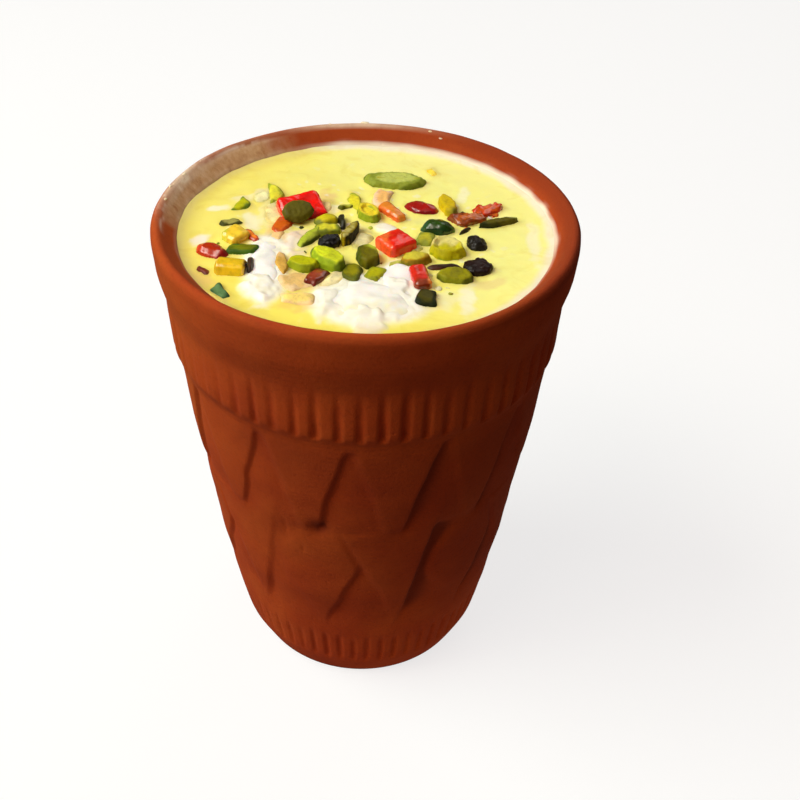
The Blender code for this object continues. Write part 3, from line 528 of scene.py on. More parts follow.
def make_drink():
    """Mango lassi, yoghurt blended with fruit: thick, opaque and satin, with light scattering under its
    skin."""
    material, tree, shader = new_material("mango_lassi")
    coord = add(tree, "TexCoord")
    tint = add(tree, "Attribute", {"attribute_name": "tint"})
    swirl = add(tree, "TexNoise", links=[("Vector", coord, "Object")],
                Scale=per_mm(5.5), Detail=5.0, Roughness=0.55, Distortion=1.2)
    tone = add(tree, "ValToRGB", links=[("Fac", swirl, "Fac")],
               stops=((0.32, "#f4ecc8"), (0.5, "#ffffff"), (0.8, "#fffdf4")))
    mixed = add(tree, "Mix", {"data_type": "RGBA", "blend_type": "MULTIPLY"},
                [("A", tint, "Color"), ("B", tone, "Color")], Factor=0.5)
    tree.links.new(mixed.outputs[2], shader.inputs["Base Color"])
    grain = add(tree, "TexNoise", links=[("Vector", coord, "Object")],
                Scale=per_mm(0.8), Detail=3.0, Roughness=0.6)
    bump = add(tree, "Bump", links=[("Height", grain, "Fac")], Strength=0.12, Distance=0.15 * MM)
    tree.links.new(bump.outputs["Normal"], shader.inputs["Normal"])
    set_inputs(shader, Roughness=0.34, Subsurface_Weight=0.25, Subsurface_Radius=(1.0, 0.8, 0.4),
               Subsurface_Scale=1.2 * MM)
    return material


def make_food(name, grain_size, contrast, bump_strength, bump_depth, roughness, shine, subsurface=0.0,
              coat=0.0):
    """Material of a cut or candied piece: its painted colours, broken up by grain of a real size."""
    material, tree, shader = new_material(name)
    coord = add(tree, "TexCoord")
    tint = add(tree, "Attribute", {"attribute_name": "tint"})
    grain = add(tree, "TexNoise", links=[("Vector", coord, "Object")],
                Scale=per_mm(grain_size), Detail=4.0, Roughness=0.65)
    tone = add(tree, "ValToRGB", links=[("Fac", grain, "Fac")],
               stops=((0.28, "#9a9a9a"), (0.52, "#ffffff"), (0.8, "#ffffff")))
    mixed = add(tree, "Mix", {"data_type": "RGBA", "blend_type": "MULTIPLY"},
                [("A", tint, "Color"), ("B", tone, "Color")], Factor=contrast)
    tree.links.new(mixed.outputs[2], shader.inputs["Base Color"])
    bump = add(tree, "Bump", links=[("Height", grain, "Fac")], Strength=bump_strength,
               Distance=bump_depth * MM)
    tree.links.new(bump.outputs["Normal"], shader.inputs["Normal"])
    set_inputs(shader, Roughness=roughness, Specular_IOR_Level=shine, Subsurface_Weight=subsurface,
               Subsurface_Radius=(1.0, 0.6, 0.3), Subsurface_Scale=1.0 * MM, Coat_Weight=coat,
               Coat_Roughness=0.12)
    return material


terracotta = make_terracotta()
lassi_finish = make_drink()
FINISHES = {
    # sugar-soaked papaya and cherry: translucent, wet and glossy
    "candied_fruit": make_food("candied_fruit", 1.1, 0.40, 0.25, 0.20, 0.24, 0.4, subsurface=0.25, coat=0.5),
    # cut pistachio and almond: satin and slightly waxy, with a fine cut grain
    "nut_flesh": make_food("pistachio_flesh", 0.7, 0.36, 0.4, 0.22, 0.5, 0.14, subsurface=0.1),
    # whole end of a pistachio in its thin wet skin
    "glazed_nut": make_food("pistachio_skin", 0.9, 0.4, 0.3, 0.2, 0.24, 0.4, coat=0.4),
    # dried grape: dark, wrinkled, with a dull shine on its folds
    "raisin": make_food("raisin", 0.8, 0.5, 0.5, 0.3, 0.4, 0.3),
    # thick whipped cream: white, soft, satin
    "cream": make_food("cream", 1.4, 0.04, 0.2, 0.2, 0.5, 0.5, subsurface=0.45),
}


# === cup ===
def grooves(angle, count, first, seed):
    """Share of groove (1) or crest (0) of upright flutes, a little unevenly spaced."""
    pitch = 360.0 / count
    wavering = angle + wander(angle, 11.0, seed, 0.28) - first
    from_groove = turned_from(wavering * count, 0.0) / count / (pitch / 2)
    depths = 1.0 + wander(angle, 14.0, seed + " depth", 0.22)
    worn = 1.0 - RUBBED_SHARE * np.exp(-(turned_from(angle, RUBBED_TURN) / RUBBED_WIDTH) ** 2)
    return (1.0 - ease(0.04, 0.58, np.abs(from_groove))) * depths * worn


def over(angle, edge, height, radius):
    """Distance in mm to the right of a slanting edge, negative left of it."""
    return (angle - edge_at(edge, height)) * np.radians(1.0) * radius * EDGE_SLANT


def relief(angle, height, radius, lumps):
    """Depth of the outside under its crests, in mm, for arrays of points."""
    fade = 1.0 - ease(87.5, 95.4, height + wander(angle, 12.0, "fade", 0.7))
    foot = ease(81.2, 82.8, height) * (1.0 + 0.6 * ease(86.5, 83.5, height))
    depth = FLUTE_DEPTH * grooves(angle, FLUTES, FLUTE_TURN, "flutes") * fade * foot
    band = ease(6.6, 8.6, height) * (1.0 - ease(14.6, 17.6, height + wander(angle, 10.0, "ribs top", 0.8)))
    depth += RIB_DEPTH * grooves(angle, RIBS, RIB_TURN, "ribs") * band

    # upper tier: each niche is deepest under the field on its left
    wavy = angle + 0.7 * lumps
    wavy_height = height + wander(angle, 16.0, "waist", 0.35)
    upper = np.full_like(height, 0.06)
    for cell in range(REPEATS):
        draw = random.Random(f"{SEED} cell {cell}")
        seen = cell in FRONT_DEPTHS
        shy = 0.0 if seen else draw.uniform(-1.2, 1.2)
        wall = FRONT_WALL if seen else draw.uniform(0.65, 1.0)
        depth_share = FRONT_DEPTHS.get(cell, draw.uniform(1.0, 1.4))
        from_niche = turned_from(wavy, NICHE_TURN + REPEAT * cell + shy)
        from_left = over(from_niche, NICHE_LEFT, height, radius)
        from_right = -over(from_niche, NICHE_RIGHT, height, radius)
        cover = (ease(-0.15, wall, from_left) * ease(-0.6, 1.5, from_right)
                 * ease(-0.4, 1.6, LATTICE_TOP - wavy_height))
        floor = 0.30 + depth_share * edge_at(((WAIST, 0.80), (66.0, 0.80), (LATTICE_TOP, 0.50)),
                                             height) * np.exp(-np.maximum(from_left, 0.0) / 3.6)
        upper = mix(upper, floor, cover)

    # lower tier: blades and pillows by turns, over ground that rises away from each steep edge
    ground = 0.50 - 0.30 * np.exp(-(turned_from(angle, SHALLOW_TURN) / 7.0) ** 4) * ease(38.0, 44.0, height)
    blades, pillows = [], []
    for cell in range(REPEATS):
        from_tip = turned_from(wavy, TIP_TURN + REPEAT * (cell - REPEATS // 2))
        is_blade = cell % 2 == (REPEATS // 2) % 2
        left, right = (BLADE_LEFT, BLADE_RIGHT) if is_blade else (PILLOW_LEFT, PILLOW_RIGHT)
        from_left = over(from_tip, left, height, radius)
        from_right = -over(from_tip, right, height, radius)
        beyond = np.where(from_right < 0.3, np.exp(np.minimum(from_right, 0.0) / 3.2), 0.0)
        reach = 1.0 if is_blade else ease(46.0, 40.0, height)
        drop = 0.75 + 0.60 * ease(5.0, 16.0, angle)
        drop -= 0.68 * np.exp(-(turned_from(angle, SHALLOW_TURN) / 9.0) ** 4) * ease(30.0, 38.0, height)
        drop -= 0.25 * ease(-36.0, -60.0, angle)
        ground = np.maximum(ground, 0.40 + drop * beyond * reach * (np.abs(from_tip) < 26.0))
        if is_blade:
            below = edge_at(BLADE_TOP, from_tip) - wavy_height
            soft = 1.0 + 4.0 * ease(-3.0, 3.0, from_tip)
            blades.append(ease(-0.5, 1.3, from_left) * ease(-1.2, 0.6, from_right)
                          * ease(-0.6, 1.4, below / soft))
        else:
            cover = (ease(-1.7, 1.4, from_left) * ease(-0.7, 0.5, from_right)
                     * ease(56.0, 48.5, height))
            crown = 0.10 + 0.22 * np.exp(-np.maximum(from_left, 0.0) / 2.4)
            pillows.append((cover, crown))
    lower = ground
    for cover, crown in pillows:
        lower = mix(lower, crown, cover)
    together = mix(lower, upper, ease(WAIST - 2.6, WAIST + 1.4, height))
    blade_depth = edge_at(((LATTICE_FOOT, 0.25), (41.0, 0.10), (WAIST, 0.22), (64.0, 0.30)), height)
    for cover in blades:
        together = mix(together, np.minimum(blade_depth, together), cover)

    # pits where the tips of the upper fields end
    for cell in range(REPEATS):
        draw = random.Random(f"{SEED} pit {cell}")
        strength = PIT_DEPTH if cell == 0 else draw.uniform(0.0, 0.3)
        from_pit = turned_from(angle, NICHE_TURN + PIT_TURN + REPEAT * cell) / PIT_WIDTH
        together += strength * np.exp(-from_pit ** 2 - ((height - PIT_HEIGHT) / PIT_REACH) ** 2)
    # a short seam and a nick beside it
    together += 0.15 * np.exp(-(turned_from(angle, -26.6) / 0.9) ** 2 - ((height - 53.0) / 2.6) ** 2)
    together += 0.4 * np.exp(-(turned_from(angle, -20.5) / 0.55) ** 2 - ((height - 47.5) / 0.45) ** 2)
    return depth + together * ease(19.5, 30.0, height) * (1.0 - ease(LATTICE_TOP, LATTICE_TOP + 1.4, height))


def rows_between():
    """Heights of the outside rows."""
    heights = []
    for low, high, spacing in CUP_ROWS:
        count = max(1, round((high - low) / spacing))
        heights += [low + (high - low) * step / count for step in range(count)]
    return heights


def make_cup():
    """The whole cup as one closed turned shell, pressed in by its relief and slightly uneven as clay is."""
    reach = np.linspace(-0.9, 0.9, 9)
    profile = [(0.0, 0.0), (14.0, 0.0), (24.6, 0.0)]
    for height in rows_between():
        profile.append((float(np.mean(edge_at(OUTSIDE, height + reach * min(1.0, height / 2)))), height))
    profile += [(radius, height) for height, radius in LIP]
    profile += [(radius, height) for height, radius in INSIDE]
    profile.append((0.0, INSIDE[-1][0]))
    mesh = spun(profile, CUP_COLUMNS)
    spots = read_spots(mesh)
    radius = np.hypot(spots[:, 0], spots[:, 1])
    angle = np.degrees(np.arctan2(spots[:, 0], -spots[:, 1]))
    height = spots[:, 2].copy()
    middle = (edge_at(OUTSIDE, height) + np.interp(height, [6.8, 9.6, 32, 75, 102, 104.3, 107.3],
                                                   [22, 25, 29.2, 34.5, 36.75, 38.4, 40.8])) / 2
    outside = radius > middle
    coarse, fine = noise_at(spots, 17.0, 1), noise_at(spots, 5.0, 2)
    pressed = np.where(outside & (height > 0.5), relief(angle, height, radius, fine), 0.0)
    lumps = 0.22 * coarse + 0.10 * fine
    lumps *= np.where(outside, ease(0.0, 4.0, height), ease(60.0, 100.0, height))
    new_radius = np.where(radius > 1.0, radius - pressed + lumps, radius)
    scale = np.where(radius > 1.0, new_radius / np.maximum(radius, 1.0), 1.0)
    spots[:, 0] *= scale
    spots[:, 1] *= scale
    spots[:, 2] += 0.14 * wander(angle, 50.0, "lip") * ease(98.0, 106.0, height)
    write_spots(mesh, spots)

    # rubbed crests; a lip and an inside wall darkened by drink drawn into the clay; and painted shade
    crest = np.where(outside, ease(0.30, 0.05, pressed), 0.0) * ease(20.0, 24.0, height) * 0.12
    keep_share(mesh, "worn", np.clip(crest + 0.10 * noise_at(spots, 8.0, 3), 0.0, 1.0))
    # the lip is darkened all round by drink drawn into the clay, and painted darker towards the right, where
    # it lies in shade
    soaked_and_shade = ease(103.6, 106.6, height) * (0.30 + 0.55 * ease(-20.0, 80.0, angle) * ease(178.0, 140.0, angle))
    # painted shade in the pressed hollows, strongest on the front right, where the body is in shade
    right = ease(5.0, 25.0, angle) * ease(80.0, 50.0, angle)
    hollow_shade = (0.50 + 0.40 * right) * ease(0.80 - 0.20 * right, 1.7 - 0.6 * right, pressed) * (height < 80.0)
    # painted shade in the deep pit in front
    pit = 0.85 * np.exp(-((angle + 14.2) / 2.8) ** 2 - ((height - 55.0) / 2.4) ** 2)
    inner_back = 0.55 * ease(98.0, 102.0, height) * ease(95.0, 130.0, np.abs(angle))
    # painted shade over the body's front and right, away from the lamps
    flank_shade = (ease(16.0, 30.0, height) * ease(81.0, 74.0, height) * ease(-62.0, -15.0, angle)
             * ease(150.0, 110.0, angle) * (0.24 + 0.10 * coarse))
    soaked_and_shade = np.maximum(soaked_and_shade, np.where(outside, hollow_shade + pit + flank_shade, inner_back))
    keep_share(mesh, "soaked_and_shade", np.clip(soaked_and_shade, 0.0, 1.0))

    # drink dried on the inside wall at the back left and on the lip, and a wet edge above the level
    inner = (~outside & (height > 98.0)) | (outside & (height > 106.9))
    hazy = angle + 6.0 * fine
    back_left = ease(-84.0, -99.0, hazy) * ease(-159.0, -142.0, hazy)
    lip_back = ease(106.6, 107.1, height) * np.exp(-(turned_from(angle, -176.0) / 17.0) ** 2) * 0.75
    lip_left = (ease(105.6, 106.4, height) * ease(41.6, 41.0, radius)
                * np.exp(-(turned_from(angle, -109.0) / 13.0) ** 2))
    film = np.where(inner, back_left * np.where(height > 106.6, 0.3, 1.0), 0.0)
    keep_share(mesh, "film", np.clip(np.maximum(np.maximum(film, lip_back), lip_left), 0.0, 1.0))
    inner_edge = ~outside & (height > 105.0)
    broken = noise_at(spots, 1.6, 4)
    tide = (np.exp(-((height - 106.75 - 0.25 * fine) / 0.22) ** 2) * inner_edge
            * ease(-76.0, -84.0, angle) * ease(-152.0, -140.0, angle) * ease(-0.35, 0.15, broken))
    flecks = lip_left * ease(0.05, 0.35, broken)
    edge = LEVEL + 0.95 + wander(angle, 9.0, "edge", 0.16)
    edge_share = ease(edge + 0.45, edge - 0.35, height) * (
        0.25 + 0.75 * np.maximum(ease(60.0, 100.0, angle), ease(-158.0, -172.0, angle)))
    wet = np.maximum(np.where(~outside, edge_share, 0.0), np.maximum(lip_left * 0.4, lip_back * 0.5))
    keep_share(mesh, "wet", np.clip(np.maximum(wet, np.maximum(0.55 * tide, 0.9 * flecks)), 0.0, 1.0))
    return piece_from(mesh, "clay_cup", terracotta, "cup")


# === toppings ===
def refined(node, voxel, rounds):
    """A finely meshed and rounded copy of a CAD node, in mm."""
    bm = bmesh.new()
    bm.from_mesh(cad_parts[node].data)
    bmesh.ops.remove_doubles(bm, verts=bm.verts, dist=0.001 * MM)
    bmesh.ops.scale(bm, vec=(1 / MM,) * 3, verts=bm.verts)
    rough = placed("rough", mesh_from(bm, "rough"))
    fine = rough.modifiers.new("fine", "REMESH")
    fine.mode = "VOXEL"
    fine.voxel_size = voxel
    rounding = rough.modifiers.new("rounded", "SMOOTH")
    rounding.factor = 0.5
    rounding.iterations = rounds
    bpy.context.view_layer.update()
    result = bpy.data.meshes.new_from_object(rough.evaluated_get(bpy.context.evaluated_depsgraph_get()))
    bpy.data.objects.remove(rough)
    return result


def painted(spots, normals, base, coats, seed):
    """Colour of each vertex: a base and the coats over it, with wavering edges."""
    low, high = spots.min(0), spots.max(0)
    share = (spots - (low + high) / 2) / ((high - low) / 2)
    colours = np.tile(linear(base), (len(spots), 1))
    waver = 0.22 * noise_at(spots, 1.3, seed)
    patchy = noise_at(spots, 2.3, seed + 3.0)[:, None]
    colours = colours * (1.0 + 0.22 * patchy)
    for colour, kind, way, start, end in coats:
        if kind == "rim":
            value = np.hypot(share[:, 0], share[:, 1]) + 0.5 * waver
        else:
            # a "face" coat paints light and shade by the way each face looks
            value = (normals if kind == "face" else share) @ np.array(way) + waver
        colours = laid_over(colours, colour, ease(start, end, value))
    return colours


def make_topping(node, number):
    """A topping with its grain pressed into the mesh and its colours painted on."""
    finish, base, coats = TOPPINGS[node]
    (voxel, rounds), waves, push = SURFACES[finish]
    mesh = refined(node, voxel, rounds)
    spots, normals = read_spots(mesh), read_normals(mesh)
    for spot, reach, amount in SWELLS.get(node, ()):
        away = spots[:, :2] - np.array(spot)
        distance = np.hypot(away[:, 0], away[:, 1])
        outwards = amount * np.exp(-(distance / reach) ** 4) / np.maximum(distance, 1.2)
        spots[:, :2] += away * outwards[:, None]
    for size, strength in waves:
        push = push + strength * noise_at(spots, size, number + size)
    if finish == "raisin":
        push = push - 0.22 * (1.0 - np.abs(noise_at(spots, 1.4, number)) * 3.0).clip(0.0, 1.0) ** 2
    spots = spots + normals * np.asarray(push)[:, None]
    if finish == "cream":
        spots[:, 2] = mix(LEVEL, spots[:, 2], np.where(spots[:, 2] > LEVEL, CREAM_KEPT, 1.0))
    write_spots(mesh, spots)
    keep_colour(mesh, "tint", painted(spots, read_normals(mesh), base, coats, number + 0.5))
    return piece_from(mesh, "dressed_" + node, FINISHES[finish], node)


def bit_into(bm, shape, spot, size, heading, top, draw):
    """One small cut piece: a block with rounded arrises, drawn to points if it is a sliver."""
    before = len(bm.verts)
    corners = bmesh.ops.create_cube(bm, size=2.0)["verts"]
    edges = list({edge for vert in corners for edge in vert.link_edges})
    bmesh.ops.subdivide_edges(bm, edges=edges, cuts=7, use_grid_fill=True)
    bm.verts.ensure_lookup_table()
    verts = bm.verts[before:]
    squareness = {"sliver": 3.0, "crescent": 2.6, "dark": 3.0, "pale": 3.0}.get(shape, 6.0)
    shift = Vector((draw.uniform(-50, 50), draw.uniform(-50, 50), 0.0))
    half = Vector((size[0] * BIT_HALF[0], size[1] * BIT_HALF[1], (top + BIT_DRAUGHT) / 2))
    skew, taper, bend = draw.uniform(-0.3, 0.3), draw.uniform(-0.25, 0.25), draw.uniform(-0.15, 0.15)
    for vert in verts:
        length = sum(abs(part) ** squareness for part in vert.co) ** (1.0 / squareness)
        vert.co /= length
        if shape in ("sliver", "crescent"):
            vert.co.y *= 1.0 - 0.65 * abs(vert.co.x) ** 1.8
        if shape == "crescent":
            vert.co.y += 0.9 * vert.co.x ** 2 - 0.35
        vert.co.y = vert.co.y * (1.0 + taper * vert.co.x) + bend * vert.co.x ** 2
        vert.co.x += skew * vert.co.y * half.y / half.x
        if vert.co.z > 0:
            vert.co.xy *= 1.0 - 0.12 * vert.co.z
        vert.co = Vector(a * b for a, b in zip(vert.co, half))
        vert.co += 0.40 * noise.noise_vector(vert.co / 1.8 + shift)
        if shape == "rough":
            vert.co += 0.55 * noise.noise_vector(vert.co / 0.8 + shift)
        else:
            vert.co += 0.08 * noise.noise_vector(vert.co / 0.6 + shift)
    lean = Matrix.Rotation(math.radians(draw.uniform(-9, 9)), 4, "X")
    lean = lean @ Matrix.Rotation(math.radians(draw.uniform(-5, 5)), 4, "Y")
    bmesh.ops.transform(bm, matrix=lean, verts=verts)
    place = Matrix.Translation((*spot, LEVEL + top - half.z)) @ Matrix.Rotation(math.radians(heading), 4, "Z")
    bmesh.ops.transform(bm, matrix=place, verts=verts)
    return verts


def make_bits():
    """The small cut pieces, gathered into one piece for each finish."""
    families = (("nut_bits", ("chip", "sliver", "crescent", "pale"), "nut_flesh"),
                ("fruit_bits", ("fruit", "rough"), "candied_fruit"), ("dark_bits", ("dark",), "raisin"))
    made = []
    for name, shapes, finish in families:
        bm = bmesh.new()
        layer = bm.verts.layers.float_color.new("tint")
        for number, (shape, spot, size, heading, top, colour, edge_colour) in enumerate(BITS):
            if shape not in shapes:
                continue
            draw = random.Random(f"{SEED} bit {number}")
            verts = bit_into(bm, shape, spot, size, heading, top, draw)
            centre = Vector((*spot, 0.0))
            for vert in verts:
                turn = math.radians(heading)
                off = vert.co.xy - centre.xy
                along = (off.x * math.cos(turn) + off.y * math.sin(turn)) / (size[0] / 2)
                beside = (off.y * math.cos(turn) - off.x * math.sin(turn)) / (size[1] / 2)
                waver = 0.45 * noise.noise(vert.co / 1.1)
                share = float(ease(0.62, 0.98, math.hypot(along, beside) + waver))
                patchy = 1.0 + 0.25 * noise.noise(vert.co / 2.0 + Vector((9.0, 3.0, number)))
                shade = [patchy * mix(a, b, share) for a, b in zip(linear(colour), linear(edge_colour))]
                vert[layer] = (*shade, 1.0)
        bmesh.ops.recalc_face_normals(bm, faces=bm.faces)
        made.append(piece_from(mesh_from(bm, name), name, FINISHES[finish], "lassi"))
    return made


def make_crumbs():
    """Fine crumbs of nut, fruit and curd, half sunk around the pieces they fell from."""
    draw = random.Random(f"{SEED} crumbs")
    bm = bmesh.new()
    layer = bm.verts.layers.float_color.new("tint")
    for number in range(CRUMBS):
        (x, y), reach, colours = CRUMB_BEDS[number % len(CRUMB_BEDS)]
        turn, far = draw.uniform(0.0, math.tau), reach * math.sqrt(draw.random())
        spot = Vector((x + far * math.cos(turn), y + far * math.sin(turn), LEVEL + 0.08))
        size = Vector(draw.uniform(0.25, 0.55) * draw.uniform(0.6, 1.7) for _ in range(3))
        size.z = min(size.z, 0.26)
        place = (Matrix.Translation(spot) @ Matrix.Rotation(draw.uniform(0.0, math.tau), 4, "Z")
                 @ Matrix.Diagonal((*size, 1.0)))
        shade = linear(draw.choice(colours))
        for vert in bmesh.ops.create_icosphere(bm, subdivisions=2, radius=1.0, matrix=place)["verts"]:
            vert.co += 0.26 * noise.noise_vector(vert.co / 0.55)
            vert[layer] = (*shade, 1.0)
    return piece_from(mesh_from(bm, "crumbs"), "crumbs", FINISHES["nut_flesh"], "lassi")


def make_splashes():
    """Small drops of the drink that have landed on the lip and dried."""
    bm = bmesh.new()
    layer = bm.verts.layers.float_color.new("tint")
    shade = (*linear("#f4e4c8"), 1.0)
    for angle, radius, height, size in SPLASHES:
        turn = math.radians(angle)
        spot = (radius * math.sin(turn), -radius * math.cos(turn), height)
        place = (Matrix.Translation(spot) @ Matrix.Rotation(turn, 4, "Z")
                 @ Matrix.Diagonal((size * 1.5, size, size * 0.55, 1.0)))
        for vert in bmesh.ops.create_icosphere(bm, subdivisions=3, radius=1.0, matrix=place)["verts"]:
            vert.co += 0.3 * size * noise.noise_vector(vert.co / 0.9)
            vert[layer] = shade
    return piece_from(mesh_from(bm, "splashes"), "splashes", lassi_finish, "lassi")


# === drink ===
def gaps_to(pieces, spots, chosen, reach=3.0):
    """Distance in mm from each chosen spot to the nearest of some finished pieces, up to a reach."""
    corners, faces = [], []
    for made in pieces:
        start = len(corners)
        corners += [vert.co / MM for vert in made.data.vertices]
        faces += [[start + index for index in face.vertices] for face in made.data.polygons]
    tree = BVHTree.FromPolygons(corners, faces)
    gaps = np.full(len(spots), reach)
    for index in np.nonzero(chosen)[0]:
        hit = tree.find_nearest(Vector(spots[index]), reach)
        if hit[0] is not None:
            gaps[index] = hit[3]
    return gaps


def make_drink_body(toppings):
    """The drink: it climbs the wall and every topping a little, carries the stains of what lies in it, and
    has painted shade: darker towards its left, close round each piece, and along the wall at the left and
    front, where the lip's shadow falls.
    """
    profile = [(0.0, LEVEL)]
    count = round((WALL_RADIUS - 1.6) / RING_STEP)
    profile += [((WALL_RADIUS - 1.6) * (step + 1) / count, LEVEL) for step in range(count)]
    profile += [(WALL_RADIUS - inset, LEVEL) for inset in (1.2, 0.85, 0.55, 0.3, 0.12, 0.02)]
    profile += [(radius, height) for height, radius in DRINK_WALL]
    profile.append((0.0, DRINK_WALL[-1][0]))
    mesh = spun(profile, DRINK_COLUMNS)
    spots = read_spots(mesh)
    radius = np.hypot(spots[:, 0], spots[:, 1])
    angle = np.degrees(np.arctan2(spots[:, 0], -spots[:, 1]))
    surface = spots[:, 2] > LEVEL - 0.01

    near = gaps_to([made for made in toppings if "cream" not in made.name], spots, surface)
    near_cream = gaps_to([made for made in toppings if "cream" in made.name], spots, surface)
    rise = CLIMB * np.exp(-(WALL_RADIUS - radius) / 0.75)
    rise += 0.34 * np.exp(-near / 0.55) + 0.45 * np.exp(-near_cream / 0.9)
    rise += 0.16 * noise_at(spots, 8.0, 7) + 0.07 * noise_at(spots, 3.0, 8)

    drift = 3.0 * noise_at(spots, 9.0, 9)
    # painted shade: the drink turns darker and more yellow towards its left, the side that the lip shades
    across = ease(-36.0, 30.0, spots[:, 0] + drift)[:, None]
    colours = mix(np.array(linear(DRINK_LEFT_SHADED)), np.array(linear(DRINK_RIGHT)), across)
    near_side = 0.75 * ease(-4.0, -34.0, spots[:, 1] + drift) * ease(26.0, 8.0, spots[:, 0])
    colours = laid_over(colours, DRINK_NEAR, near_side)
    far_side = 0.8 * ease(12.0, 34.0, spots[:, 1] + drift) * ease(-20.0, 4.0, spots[:, 0])
    colours = laid_over(colours, DRINK_FAR, far_side)
    waver = noise_at(spots, 2.2, 10) * 0.5 + noise_at(spots, 0.9, 11) * 0.2
    lumps = noise_at(spots, 3.8, 13)
    for spot, (half_length, half_width), heading, colour, strength in PATCHES:
        turn = math.radians(heading)
        off = spots[:, :2] - np.array(spot)
        along = (off[:, 0] * math.cos(turn) + off[:, 1] * math.sin(turn)) / half_length
        beside = (-off[:, 0] * math.sin(turn) + off[:, 1] * math.cos(turn)) / half_width
        share = ease(1.25, 0.55, np.hypot(along, beside) + waver) * strength
        colours = laid_over(colours, colour, share)
        if strength >= 0.9:
            share = share * ease(1.4, 0.6, np.hypot(along, beside) + 0.4 * waver)
            rise += 0.5 * share * (1.0 + 0.6 * lumps) * ease(0.0, 1.5, near)
    specks = ease(0.46, 0.60, noise_at(spots, 1.5, 12)) * ease(33.0, 20.0, radius) * 0.5
    colours = laid_over(colours, DRINK_SPECKS, specks)
    # painted contact shade: the drink darkens close round each piece
    contact_shade = 0.45 * np.exp(-near / 0.7)
    colours = laid_over(colours, DRINK_CONTACT_SHADE, contact_shade)
    whiter = 0.95 * np.exp(-(near_cream / (1.3 + 0.9 * waver)) ** 2)
    colours = laid_over(colours, DRINK_BY_CREAM, whiter)
    outer = radius + 0.5 * noise_at(spots, 4.0, 14)
    pale_side = np.maximum(ease(0.0, 60.0, angle), ease(-150.0, -172.0, angle))
    rim = ease(WALL_RADIUS - 2.1, WALL_RADIUS - 0.4, outer) * (0.12 + 0.70 * pale_side)
    colours = laid_over(colours, DRINK_RIM, rim)
    # painted shadow of the lip on the drink, along the wall at the left and front
    lip_shadow = ease(WALL_RADIUS - 4.5, WALL_RADIUS - 0.5, outer) * (1.0 - pale_side) * 0.45
    colours = laid_over(colours, DRINK_LIP_SHADOW, lip_shadow)
    spots[:, 2] += np.where(surface, rise, 0.0)
    into_wall = DRINK_OVERLAP * np.exp(-(WALL_RADIUS - radius) / 0.2)
    wider = np.where(surface & (radius > 1.0), into_wall / np.maximum(radius, 1.0), 0.0)
    spots[:, :2] *= (1.0 + wider)[:, None]
    write_spots(mesh, spots)
    keep_colour(mesh, "tint", colours)
    return piece_from(mesh, "lassi_drink", lassi_finish, "lassi")


# === stage ===
def make_camera():
    pitch, yaw, roll = (math.radians(part) for part in (CAMERA_PITCH, CAMERA_YAW, CAMERA_ROLL))
    ahead = Vector((math.sin(yaw) * math.cos(pitch), math.cos(yaw) * math.cos(pitch), -math.sin(pitch)))
    level_right = Vector((math.cos(yaw), -math.sin(yaw), 0.0))
    level_up = level_right.cross(ahead)
    right = math.cos(roll) * level_right + math.sin(roll) * level_up
    up = -math.sin(roll) * level_right + math.cos(roll) * level_up
    data = bpy.data.cameras.new("camera")
    data.lens = CAMERA_LENS
    data.sensor_width = SENSOR
    camera = placed("camera", data)
    camera.matrix_world = (Matrix.Translation(Vector(CAMERA_PLACE) * MM)
                           @ Matrix((right, up, -ahead)).transposed().to_4x4())
    bpy.context.scene.camera = camera


def make_panel(name, size, power, colour, matrix):
    """A soft round light; its size in metres and its power in watts."""
    data = bpy.data.lights.new(name, "AREA")
    data.shape = "DISK"
    data.size = size
    data.energy = power
    data.color = linear(colour)
    light = placed(name, data)
    light.matrix_world = matrix
    return light


def make_light(name, angle, elevation, distance, size, power, colour):
    """A panel that looks at the drink from an angle round the cup and a distance in metres."""
    turn, rise = math.radians(angle), math.radians(elevation)
    way = Vector((math.sin(turn) * math.cos(rise), -math.cos(turn) * math.cos(rise), math.sin(rise)))
    facing = way.to_track_quat("Z", "Y").to_matrix().to_4x4()
    make_panel(name, size, power, colour, Matrix.Translation(LIGHT_AIM + way * distance) @ facing)


def make_bounce():
    """Light that the table throws back at the foot of the cup, fading upwards."""
    upwards = Matrix.Translation((0.0, 0.0, 0.0004)) @ Matrix.Rotation(math.pi, 4, "X")
    hide_from(make_panel("bounce", 0.20, 0.034, "#ffd2b4", upwards), "camera", "glossy")


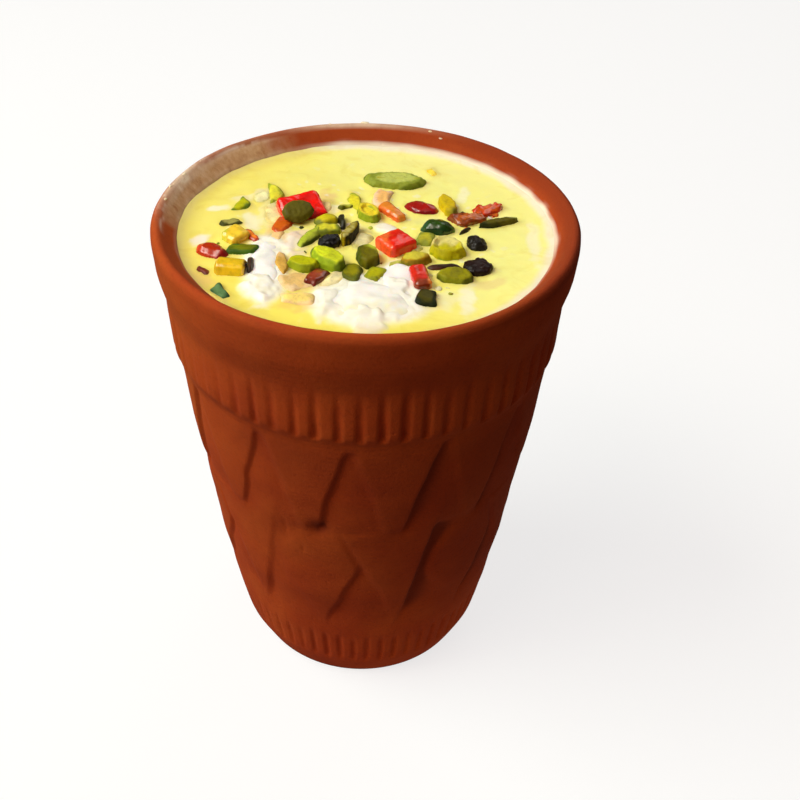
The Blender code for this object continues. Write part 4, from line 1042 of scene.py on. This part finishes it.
def make_floor():
    """A plain pale table top that keeps its bounce off the cup."""
    material, tree, shader = new_material("pale_floor")
    set_inputs(shader, Base_Color=(*linear("#8a8a8a"), 1.0), Roughness=1.0, Specular_IOR_Level=0.0,
               Emission_Color=(1.0, 1.0, 1.0, 1.0), Emission_Strength=0.76)
    bm = bmesh.new()
    bmesh.ops.create_grid(bm, x_segments=1, y_segments=1, size=FLOOR_REACH)
    floor = placed("floor", mesh_from(bm, "floor"))
    floor.data.materials.append(material)
    hide_from(floor, "diffuse", "glossy")


def make_backdrop():
    """A pale dome far behind everything, seen only where a low view looks past the table top."""
    material, tree, shader = new_material("pale_backdrop")
    set_inputs(shader, Base_Color=(0.0, 0.0, 0.0, 1.0), Specular_IOR_Level=0.0,
               Emission_Color=(1.0, 0.99, 0.98, 1.0), Emission_Strength=0.80)
    bm = bmesh.new()
    bmesh.ops.create_uvsphere(bm, u_segments=48, v_segments=24, radius=DOME_RADIUS)
    bmesh.ops.bisect_plane(bm, geom=bm.verts[:] + bm.edges[:] + bm.faces[:], plane_co=(0, 0, -0.01),
                           plane_no=(0, 0, 1), clear_inner=True)
    bmesh.ops.reverse_faces(bm, faces=bm.faces)
    backdrop = placed("backdrop", mesh_from(bm, "backdrop"))
    backdrop.data.materials.append(material)
    hide_from(backdrop, "diffuse", "glossy", "transmission", "shadow")


def make_world():
    """Even pale studio light, shown without a film-like curve."""
    bpy.context.scene.view_settings.view_transform = "Standard"
    world = bpy.data.worlds.new("studio")
    world.use_nodes = True
    background = world.node_tree.nodes["Background"]
    set_inputs(background, Color=(*linear("#ffd0ba"), 1.0), Strength=0.085)
    bpy.context.scene.world = world


make_camera()
make_cup()
toppings = [make_topping(node, number) for number, node in enumerate(TOPPINGS)]
toppings += make_bits()
make_crumbs()
make_splashes()
make_drink_body(toppings)
make_light("key", -84.0, 47.0, 0.95, 0.70, 8.3, "#f7fff2")
make_light("side", -48.0, 52.0, 1.0, 0.50, 3.2, "#ffe6d8")
make_light("fill", 0.0, 75.0, 1.1, 1.0, 1.1, "#ffe2d2")
make_light("back", 152.0, 42.0, 1.1, 0.70, 1.7, "#fffdf8")
make_bounce()
make_floor()
make_backdrop()
make_world()
